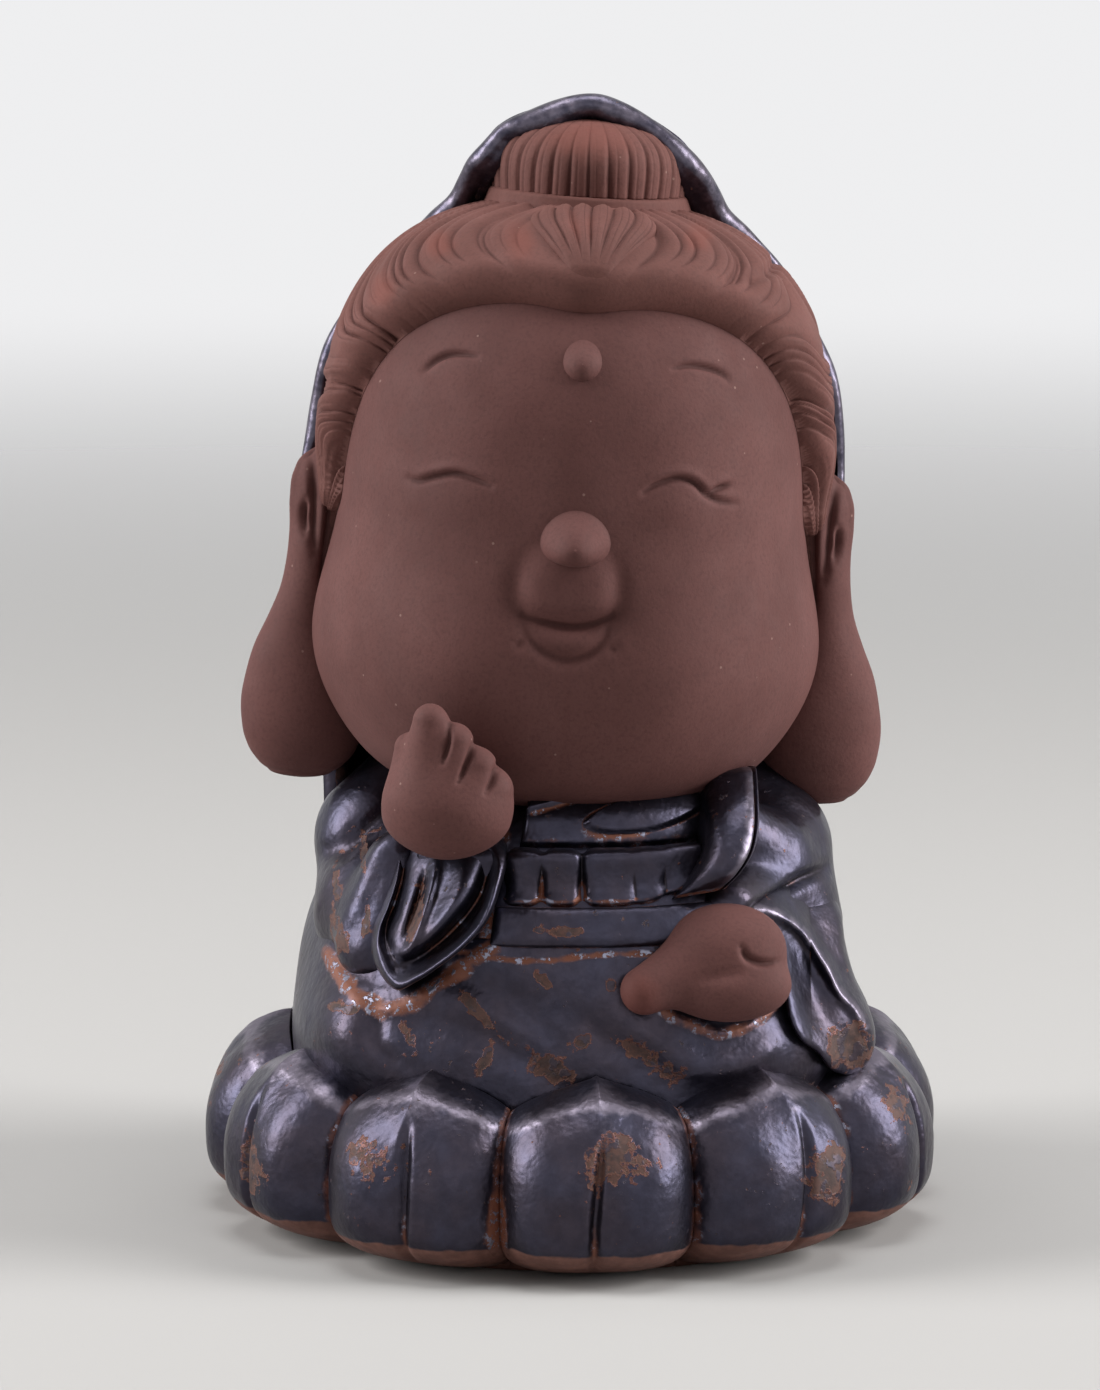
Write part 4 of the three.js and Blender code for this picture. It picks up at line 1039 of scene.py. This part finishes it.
def lap():
    """The lap: the lower robe over the crossed legs, with soft slanting folds in front."""
    height = column(ROBE_BOTTOM + 0.1, WAIST_HEIGHT + 1.0, 110)
    angle = full_turn(520, -np.pi)
    points = robe_at(angle, height)
    x, z = seen(points)
    front = ease(np.cos(angle), 0.05, 0.4)
    under_hand, along = line_distance(x, z, SLIP_UNDER_HAND)
    under_cuff = line_distance(x, z, SLIP_UNDER_CUFF)[0]
    knee_top = 1.4 * oval(x, z, (-19.2, 20.2), 3.3, 3.6)
    relief = creases(x, z, LAP_FOLDS) + knee_top + 0.3 * bell(under_cuff, 0.6)
    relief = relief + 0.4 * bell(under_hand, 0.45) * (0.8 + 0.2 * np.sin(70 * along) * np.sin(31 * along))
    behind = 0.25 * np.sin(5 * angle + 0.35 * z) * (1 - front) * ease(z, 12, 16)
    under_belt = 0.75 * bell(z - 27.2 - 0.3 * np.sin(9 * angle), 0.45)
    slip = np.maximum(np.maximum(under_belt, 0.85 * bell(under_hand, 0.6)), 0.95 * bell(under_cuff, 0.9))
    marks = {"patch": spots(points, LAP_RUST), "slip": slip * front}
    solid("lap_robe", raised(points, relief * front + behind), "robe_glaze", ["lap_shell"], marks=marks)


def upper_robe():
    """The closed robe above the waist, mostly under the sleeves, bands and veil."""
    height = column(WAIST_HEIGHT + 0.6, ROBE_BOTTOM + ROBE_HEIGHT - 0.25, 70)
    points = robe_at(full_turn(260, -np.pi), height)
    marks = {"slip": spots(points, CHEST_RUST)}
    solid("upper_robe", points, "robe_glaze", ["robe_front_shell", "robe_back_shell"], marks=marks)


def chest_band(name, nodes, low, high, first, last, thickness, relief, joint, places=()):
    """A band laid on the robe from one angle to another: thickness * profile plus its own relief.

    low(x) and high(x) are its edges, relief(x, z, w) its shape and joint(x, z, w) its slip, with w from -1 at
    its lower edge to 1 at its upper one.
    """
    t = column(0, 1, 300)
    w = np.linspace(-1, 1, 60)[None]
    angle = blend(first, last, t)
    x = robe_at(angle, (low(0) + high(0)) / 2)[..., 0]
    z = blend(low(x), high(x), (w + 1) / 2)
    profile = dome(w, 3.2) * round_ends(t, 0.04, 0.04)
    base = robe_at(angle, z)
    outer = raised(base, (thickness + relief(x, z, w)) * profile, wrap=False)
    ring = sheet_ring(outer, raised(base, -0.6, wrap=False)[:, ::6])
    marks = {
        # The hollow mark is lowered, so that less shade is painted into the bands' creases.
        "hollow": 0.8 * hollow_of(ring),
        "slip": on_outside(ring, joint(x, z, w)),
        "patch": spots(ring, places),
    }
    solid(name, ring, "robe_glaze", nodes, marks=marks)


# Each gather of the bodice: its place across, its depth, how far up it runs and its width
GATHERS = [
    (-5.9, 1.5, 1.0, 0.8),
    (-2.5, 1.0, 0.5, 0.45),
    (0.9, 1.3, 0.9, 0.35),
    (5.2, 0.35, 0.2, 0.5),
    (7.8, 0.4, 0.1, 0.5),
]


def gathers(x, z, w):
    """The bodice is fat along its top and pulled in below by creases that open downwards."""
    pulled_in = sum(
        deep * np.exp(-np.abs(x - at) / (wide * (0.5 + 0.35 * (1 - w)))) * (1 - ease(w, top - 0.6, top))
        for at, deep, top, wide in GATHERS
    )
    return 0.85 * bell(w - 0.5, 0.4) - 0.55 * bell(w + 0.6, 0.5) - pulled_in


def gather_slip(x, z, w):
    """Slip along the bodice's lower edge, thinly along its upper one, and in the feet of two gathers."""
    feet = sum(deep * bell(x - at, 0.45) for at, deep, _, _ in GATHERS[1:3])
    edges = 0.95 * ease(-w, 0.7, 0.92) + 0.5 * ease(w, 0.85, 1.0)
    return edges + 0.8 * np.minimum(feet, 1) * ease(-w, -0.1, 0.6)


def gathered(x):
    """How far the gathers draw the bodice's edges together."""
    return sum(deep * bell(x - at, 0.55) for at, deep, _, _ in GATHERS)


def fold_line(x):
    """The lower edge of the collar's upper fold."""
    return 38.65 + 0.25 * x


def lens(x, z):
    """The share from the middle of the collar's lens-shaped fold to its rim: |a|^1.6 + |b|^2."""
    return np.abs((x - 6.4) / 5.3) ** 1.6 + ((z - 37.75 - 0.13 * (x - 6.4)) / 1.15) ** 2


def drape(x, z, w):
    """The collar's two folds: an upper one over a slanting edge, and a lens below it."""
    upper = ease(z - fold_line(x), -0.12, 0.12)
    return 0.5 * upper + 0.55 * ease(1.1 - lens(x, z), 0, 0.25) - 0.25 * ease(-w, 0.2, 0.8)


def drape_slip(x, z, w):
    """Slip along the edges of both folds, and along the collar's foot."""
    edge = bell(z - fold_line(x) + 0.2, 0.3) + 0.8 * bell(lens(x, z) - 1.2, 0.22)
    return 0.65 * edge + 0.75 * ease(-w, 0.7, 0.95)


def chest():
    """Belt, gathered bodice and draped collar on the chest."""

    def flat(height):
        return lambda x: height

    def uneven(x, z, w):
        return 0.1 * np.sin(0.6 * x + 2)

    def rims(x, z, w):
        return 0.85 * ease(np.abs(w), 0.82, 1.0)

    def foot(x):
        return 31.3 + 0.4 * gathered(x) + 0.9 * ease(x, 5, 10)

    def head(x):
        return 35.6 - 0.35 * gathered(x)

    chest_band("belt", ["belt_band"], flat(28.0), flat(31.2), -0.31, 0.75, 0.9, uneven, rims, BELT_RUST)
    chest_band("bodice", ["bodice_band"], foot, head, -0.7, 0.6, 1.5, gathers, gather_slip)
    chest_band("collar", ["collar_drape"], flat(35.9), flat(40.4), -0.25, 0.75, 1.4, drape, drape_slip)


def lapel():
    """The rolled lapel: a broad leaf down the left of the chest, with a groove by its outer edge."""
    t = column(0, 1, 160)
    w = np.linspace(-1, 1, 90)[None]
    z = blend(32.1, 41.8, t) + 0.35 * w * (1 - t)
    middle = through([0, 0.15, 0.35, 0.55, 0.8, 1.0], [11.0, 12.3, 13.5, 13.95, 13.95, 13.9], t)
    x = middle + 2.25 * w
    y = through([0, 0.4, 0.75, 1.0], [-19.4, -18.3, -15.2, -10.6], t)
    y = y + 0.12 * (x - middle) + 0.3 * np.maximum(w, 0) ** 3
    base = grid(x, y, z)
    height = 2.3 * dome(w, 2.4) * round_ends(t, 0.22, 0.05)
    height = height + 0.12 * np.sin(7 * t + 2 * w) - 0.8 * bell(w - 0.76, 0.07)
    out = unit(np.array([0.25, -1, 0.2]))
    ring = sheet_ring(base + out * height[..., None], (base - out * 3.0)[:, ::10])
    marks = {
        # Painted highlight in a band between the lapel's middle and its groove.
        "painted_highlight": on_outside(ring, 0.8 * bell(w - 0.5, 0.3)),
        "slip": on_outside(ring, 0.9 * ease(0.07 - t, 0, 0.05) * np.ones_like(w)),
    }
    solid("lapel", ring, "robe_glaze", ["left_lapel"], marks=marks)


RIGHT_ARM = [
    ((-14.5, 1.5, 38.2), (-17.4, -2.0, 34.5), 4.4, 5.4),
    ((-17.3, -3.0, 32.5), (-17.0, -6.5, 27.6), 5.2, 5.8),
    ((-16.8, -8.0, 29.0), (-15.6, -12.5, 27.4), 5.4, 4.6),
    ((-15.4, -13.5, 34.5), (-17.2, -14.0, 26.5), 2.6, 3.4),
]
RIGHT_ARM_CREASES = [
    ([(-15.0, 38.5), (-18.0, 36.2), (-20.2, 34.2), (-22.6, 33.0)], 0.7, 0.75),
    ([(-16.6, 34.5), (-17.9, 30.5), (-19.6, 27.5), (-20.3, 24.5)], 0.35, 0.9),
]
RIGHT_CUFF_OUTLINE = [
    *((-15.7, 38.6), (-15.4, 35.8), (-15.7, 33.1), (-16.6, 30.5), (-17.4, 28.5), (-17.5, 26.9)),
    *((-16.7, 25.2), (-15.3, 24.1), (-13.4, 25.0), (-11.3, 26.5), (-9.2, 28.2), (-7.3, 30.3)),
    *((-6.1, 33.1), (-5.6, 35.9), (-7.9, 37.8), (-12.2, 38.9)),
]
RIGHT_CUFF_FOLDS = [
    ([(-14.5, 36.0), (-14.7, 33.4), (-15.4, 30.8), (-16.1, 28.4), (-15.6, 26.9)], 1.0, 0.5),
    ([(-12.6, 33.8), (-13.5, 31.0), (-14.4, 28.4)], 1.2, 0.36),
    ([(-11.7, 35.4), (-12.4, 32.4), (-13.4, 29.6), (-14.4, 27.6)], -0.9, 0.5),
    ([(-6.9, 36.0), (-7.9, 32.2), (-10.2, 29.3), (-13.2, 26.9), (-15.2, 25.9)], 2.2, 0.75),
    ([(-8.9, 36.0), (-9.9, 32.6), (-11.6, 30.2), (-13.8, 28.0)], -0.8, 0.8),
]


def right_sleeve():
    """The right sleeve: shoulder, full elbow and forearm pressed together."""
    points = lump(np.array([-16.2, -6.0, 31.0]), 0.8, RIGHT_ARM)
    x, z = seen(points)
    front = ease(-points[..., 1], 2, 7)
    marks = {"patch": spots(points, SLEEVE_RUST), "slip": 0.9 * ease(24.4 - z, 0, 1.5) * front}
    points = raised(points, creases(x, z, RIGHT_ARM_CREASES) * front)
    solid("right_arm_sleeve", points, "robe_glaze", ["right_sleeve"], marks=marks)


def right_cuff():
    """The leaf-shaped open cuff that hangs from the right sleeve."""

    def face(x, z):
        return robe_front(x, z) - 4.2 - 0.09 * (34 - z)

    def back(x, z):
        return robe_front(x, z) + 0.6

    def relief(x, z, r):
        return creases(x, z, RIGHT_CUFF_FOLDS) * ease(0.96 - r, 0, 0.16) - 1.2 * ease(0.9 - r, 0, 0.16)

    ring = pad(RIGHT_CUFF_OUTLINE, face, back, 5.0, relief)
    # The hollow mark is raised so that more shade is painted into the cuff's folds.
    marks = {"hollow": 1.1 * hollow_of(ring), "patch": spots(ring, CUFF_RUST)}
    solid("right_hanging_cuff", ring, "robe_glaze", ["right_cuff"], marks=marks)


LEFT_ARM = [
    ((14.5, 1.5, 38.2), (17.6, -2.5, 34.0), 4.4, 5.2),
    ((17.8, -4.0, 32.5), (18.6, -6.0, 27.0), 5.2, 5.6),
    ((17.5, -8.0, 30.0), (13.8, -17.0, 30.4), 4.2, 2.7),
    ((14.6, -10.5, 35.6), (17.4, -8.5, 33.6), 3.4, 3.6),
]
ELBOW_CREASE = [(14.8, 30.4), (18.2, 31.2), (21.1, 32.0), (23.4, 32.3)]
LEFT_CUFF_OUTLINE = [
    *((14.6, 30.6), (16.9, 31.4), (20.0, 31.3), (22.6, 30.6), (23.9, 28.4), (24.3, 25.8), (25.1, 22.9)),
    *((26.3, 20.4), (26.9, 18.2), (26.8, 16.8), (26.0, 15.3), (24.6, 14.7), (23.0, 15.5), (21.5, 17.6)),
    *((19.9, 19.2), (18.9, 21.2), (18.4, 24.0), (17.1, 27.4), (15.6, 29.0)),
]
RIDGE = [
    *((15.6, 30.6), (16.9, 30.4), (18.6, 29.5), (20.3, 28.1), (21.5, 26.2)),
    *((22.6, 24.5), (23.6, 22.6), (25.1, 20.9), (26.0, 19.2)),
]
PANEL = [(16.4, 29.4), (18.6, 27.4), (20.4, 24.2), (21.5, 21.2), (22.8, 18.6), (23.6, 16.6)]


def left_sleeve():
    """The left sleeve: shoulder and forearm pressed together."""
    points = lump(np.array([16.6, -6.5, 31.0]), 0.8, LEFT_ARM)
    crease = pressed(*seen(points), ELBOW_CREASE, 0.9, 0.6)
    points = raised(points, crease * ease(-points[..., 1], 4, 9))
    solid("left_arm_sleeve", points, "robe_glaze", ["left_sleeve"])


def left_cuff():
    """The cuff that hangs open beside the left hand: a ridge, a sunk panel and a pocket at its foot."""

    def face(x, z):
        return robe_front(np.minimum(x, 21), z) - 2.6 + 0.95 * np.maximum(x - 21, 0)

    def back(x, z):
        return face(x, z) + 3.2

    def relief(x, z, r):
        pocket = -1.1 * bell(np.hypot((x - 24.5) / 1.7, (z - 17.6) / 2.6), 0.9)
        return creases(x, z, [(RIDGE, -1.3, 0.6), (PANEL, 1.3, 1.4)]) + pocket

    ring = pad(LEFT_CUFF_OUTLINE, face, back, 4.5, relief)
    x, z = seen(ring)
    front = ease(face(x, z) + 2.2 - ring[..., 1], 0, 1.0)
    pocket = 1.3 * bell(np.hypot((x - 24.4) / 1.9, (z - 17.7) / 2.8), 0.95)
    # Painted highlight along the ridge on the cuff's face; the hollow mark is raised to paint more shade in
    # its folds.
    painted_highlight = 0.8 * bell(line_distance(x, z, RIDGE)[0], 0.4)
    marks = {"hollow": 1.1 * hollow_of(ring), "painted_highlight": painted_highlight * front, "patch": pocket * front}
    solid("left_hanging_cuff", ring, "robe_glaze", ["left_cuff"], marks=marks)


# The raised hand: its palm, its first to its last finger, its thumb and its wrist
RAISED_PALM = [((-10.6, -23.2, 40.6), (5.5, 4.2, 4.6))]
RAISED_FINGERS = [
    ((-12.2, -23.6, 41.5), (-12.1, -24.4, 48.2), 3.2, 1.5),
    ((-10.4, -24.2, 41.5), (-9.9, -24.9, 46.6), 2.5, 1.45),
    ((-8.9, -24.4, 40.8), (-7.9, -24.9, 44.5), 2.4, 1.4),
    ((-7.8, -24.0, 40.0), (-6.6, -24.3, 42.4), 2.2, 1.4),
    ((-13.8, -22.4, 39.8), (-14.0, -22.6, 45.6), 2.2, 1.2),
    ((-11.0, -21.5, 39.6), (-12.2, -11.5, 37.4), 3.3, 3.0),
]
FINGER_CREASES = [
    ([(-10.4, 48.0), (-10.6, 46.4), (-11.0, 45.0)], 0.55, 0.28),
    ([(-8.4, 46.4), (-8.9, 45.0), (-9.6, 43.4)], 0.55, 0.28),
    ([(-6.3, 44.6), (-6.7, 43.4), (-7.3, 42.4)], 0.55, 0.28),
]
FIST = [((13.4, -20.8, 27.6), (5.2, 4.4, 3.9)), ((13.6, -22.2, 24.6), (5.4, 3.8, 3.1))]
HELD_OUT_FINGER = [((11.0, -22.0, 26.6), (6.3, -24.2, 24.6), 2.9, 2.1)]
FIST_CREASES = [
    ([(10.8, 25.7), (12.8, 26.2), (15.0, 26.5)], 0.2, 0.6),
    ([(14.6, 28.6), (15.1, 27.7), (16.2, 27.2), (17.8, 27.0)], 0.6, 0.32),
]


def hands():
    """The raised right hand with its four finger tips, and the left fist with its first finger held out."""
    points = lump(np.array([-10.8, -23.4, 41.6]), 0.45, RAISED_FINGERS, RAISED_PALM)
    between = creases(*seen(points), FINGER_CREASES) * ease(-points[..., 1], 23.6, 24.6)
    solid("raised_hand", raised(points, between), "bare_clay", ["right_hand"])

    points = lump(np.array([12.6, -21.6, 26.2]), 0.5, HELD_OUT_FINGER, FIST)
    x, z = seen(points)
    warm = 1.2 * bell(np.hypot(x - 5.6, z - 24.2), 2.4)
    points = raised(points, creases(x, z, FIST_CREASES) * ease(-points[..., 1], 21, 23.5))
    solid("resting_hand", points, "bare_clay", ["left_hand"], marks={"warm": warm})


def petal_reach(z):
    """How far out a petal reaches: a rounded foot, a full belly and a tip that leans in."""
    foot = np.maximum(0, 1 - z / 7) ** 4.2
    lean = np.maximum(0, (z - 7) / (PETAL_HEIGHT - 7)) ** 2.2
    return PETAL_REACH - 7.1 * foot - 4.5 * lean


def lotus_petals():
    """Eleven fat cushions that meet in soft valleys.

    Rows cross a petal, and columns run up its face and down its back.
    The face is petal_reach less a valley towards the sides. Its rim is a low roof with a pinched tip.
    """
    half_angle = np.pi / PETAL_COUNT - 0.0006
    c = column(-1, 1, 132)
    across = c * half_angle * PETAL_REACH
    up = np.sin(np.linspace(0, np.pi / 2, 104))[None] ** 0.85
    down = np.linspace(1, 0, 20)[None, 1:]
    share = np.concatenate([up, down], 1)
    outside = np.concatenate([np.ones_like(up), np.zeros_like(down)], 1)
    seam = ease(np.abs(c), 0.88, 0.98) * outside
    for k in range(PETAL_COUNT):
        wobble = np.random.default_rng(40 + k).uniform(-1, 1, 6)
        lean = np.abs(c - 0.06 * wobble[1])
        tip = PETAL_HEIGHT - 0.1 - 2.5 * lean**1.25 - 0.5 * np.abs(c) ** 6 + 0.25 * np.exp(-lean / 0.07)
        z = share * tip
        wander = 0.08 * wobble[1] + 0.1 * np.sin(z / PETAL_HEIGHT * 3 + wobble[2]) * wobble[3]
        from_groove = across - half_angle * PETAL_REACH * wander
        groove = bell(from_groove, 0.5) * ease(z, 0.2, 2.0) * (1 - ease(z, 11.0, 15.0))
        under_rim = tip - z
        rim = 0.35 * bell(under_rim - 1.1, 0.7)
        peak = 0.55 * ease(z, 9, 16) * bell(from_groove, 1.7)
        belly = 0.35 * bell(np.abs(from_groove) - 4.2, 2.4) * bell(z - 7.5, 5)
        valley = 3.0 * np.abs(c) ** 3.4 + 0.35 * np.abs(c) ** 12
        face = petal_reach(z) * (1 + 0.004 * wobble[0]) - valley + rim + peak + belly - 0.7 * groove
        radius = blend(PETAL_BACK, face, outside * dome(share, 10, 2))
        angle = half_angle * c - np.pi / 2 + 2 * np.pi * k / PETAL_COUNT
        slip = seam * (0.5 + 0.4 * np.abs(ease(z, 3, 15) - 0.5)) + 0.55 * groove * ease(10 - z, 0, 7)
        if k in (0, PETAL_COUNT - 1):
            # The slip is thickest in the valley between the first petal and the last.
            towards = -c if k == 0 else c
            slip = slip + 0.6 * ease(towards, 0.78, 0.93) * bell(z - 4.5, 3.2) * outside
        rust = bell(across - 4.2 * wobble[4], 2.6) * bell(z - 9.5 - 2.5 * wobble[5], 2.4)
        marks = {
            "slip": slip,
            # Painted shade down the groove, which also adds a little slip there.
            "hollow": 0.5 * groove,
            "patch": rust * (0.75 + 0.25 * (k % 2)) * outside,
            # Painted highlight along the rim and the pinched peak.
            "painted_highlight": (0.9 * peak + 0.8 * bell(under_rim - 1.2, 0.7)) * outside,
        }
        name = f"petal_{k + 1:02d}"
        solid(name, turned(radius, angle, z), "petal_glaze", [f"lotus_{name}"], "seat", marks)


def turned_ring(name, profile, node):
    """A closed ring turned about Z, from a profile of (radius, z) with softened corners."""
    closed = np.array(profile + profile[:1], float)
    length = lengths(closed)
    at = np.linspace(0, length[-1], 90, endpoint=False)
    section = np.stack([np.interp(at, length, closed[:, k]) for k in (0, 1)], -1)
    section = (np.roll(section, 1, 0) + np.roll(section, -1, 0) + 2 * section) / 4
    points = turned(section[:, 0], column(0, 2 * np.pi, 145), section[:, 1])
    solid(name, points, "bare_clay", [node], "seat", ends=False)


def seat():
    """The floor slab with its firing vent, the drum and the petals."""
    turned_ring("floor_slab", [(6, 0), (25.2, 0), (25.2, 3), (6, 3)], "base_slab")
    turned_ring("seat_drum", [(22.2, 3.3), (25.2, 3.3), (25.2, 11.5), (22.2, 11.5)], "lotus_drum")
    lotus_petals()


def stage_floor():
    """A plain pale floor, which fades out into the surround."""
    mesh = bpy.data.meshes.new("floor")
    corners = [(x, y, -0.0001) for x, y in ((-3, -3), (3, -3), (3, 3), (-3, 3))]
    mesh.from_pydata(corners, [], [(0, 1, 2, 3)])
    floor = placed("floor", mesh)
    finish = Finish("pale floor")
    centre = finish.node("ShaderNodeVectorMath", {"operation": "LENGTH"}, {0: finish.place()}, "Value")
    away = finish.step(centre, 200.0, 900.0)
    mesh.materials.append(finish.shade(Base_Color=(0.43, 0.42, 0.41, 1), Roughness=0.9))
    clear = finish.node("ShaderNodeBsdfTransparent", {}, {})
    shaded = Signal(finish, finish.shader.outputs[0])
    fade = finish.node("ShaderNodeMixShader", {}, {0: away, 1: shaded, 2: clear})
    finish.put(finish.tree.nodes["Material Output"].inputs["Surface"], fade)


def surround():
    """A pale surround for the camera and for reflections, which itself lights the object only a little."""
    world = bpy.data.worlds.new("studio")
    bpy.context.scene.world = world
    world.use_nodes = True
    world.node_tree.nodes.clear()
    studio = Nodes(world.node_tree)
    seen, mirrored, through_glass = (
        studio.node("ShaderNodeLightPath", {}, {}, ray)
        for ray in ("Is Camera Ray", "Is Glossy Ray", "Is Transmission Ray")
    )
    light = studio.node("ShaderNodeBackground", {}, {"Color": (1, 1, 1, 1), "Strength": 0.07})
    shown = studio.node("ShaderNodeBackground", {}, {"Color": (0.86, 0.86, 0.87, 1)})
    share = seen.or_more(mirrored).or_more(through_glass)
    mix = studio.node("ShaderNodeMixShader", {}, {0: share, 1: light, 2: shown})
    studio.put(studio.tree.nodes.new("ShaderNodeOutputWorld").inputs[0], mix)


# Each soft lamp: its place, its size and its power
LAMPS = {
    "right lamp": ((0.62, -0.07, 0.32), (0.28, 0.55), 6.6),
    "left lamp": ((-0.62, -0.05, 0.34), (0.28, 0.55), 5.8),
    "top lamp": ((0.0, 0.02, 0.7), (0.4, 0.3), 2.4),
    "front fill": ((0.1, -0.9, 0.4), (0.7, 0.3), 0.35),
}


def lamps():
    """Soft lamps at both sides, above and in front, all turned to the middle of the figure."""
    for name, (place, size, power) in LAMPS.items():
        data = bpy.data.lights.new(name, "AREA")
        data.shape = "RECTANGLE"
        data.size, data.size_y = size
        data.energy = power
        lamp = placed(name, data)
        lamp.location = place
        lamp.rotation_euler = (Vector((0, 0, 0.05)) - Vector(place)).to_track_quat("-Z", "Y").to_euler()
    bpy.context.scene.view_settings.view_transform = "Standard"


stage_floor()
surround()
lamps()
head_skin()
face_button("nose", (0.3, 21.4), 3.25, 2.2, 2.9, ["nose_button"], 0.85)
face_button("forehead_bead", (0.1, 36.7), 1.8, 1.75, 1.15, ["brow_bead"], 0.25)
hair_skin()
tuft()
bun_band()
bun()
ear(-1, "right_ear")
ear(1, "left_ear")
veil()
veil_lip()
lap()
upper_robe()
chest()
lapel()
right_sleeve()
right_cuff()
left_sleeve()
left_cuff()
hands()
seat()
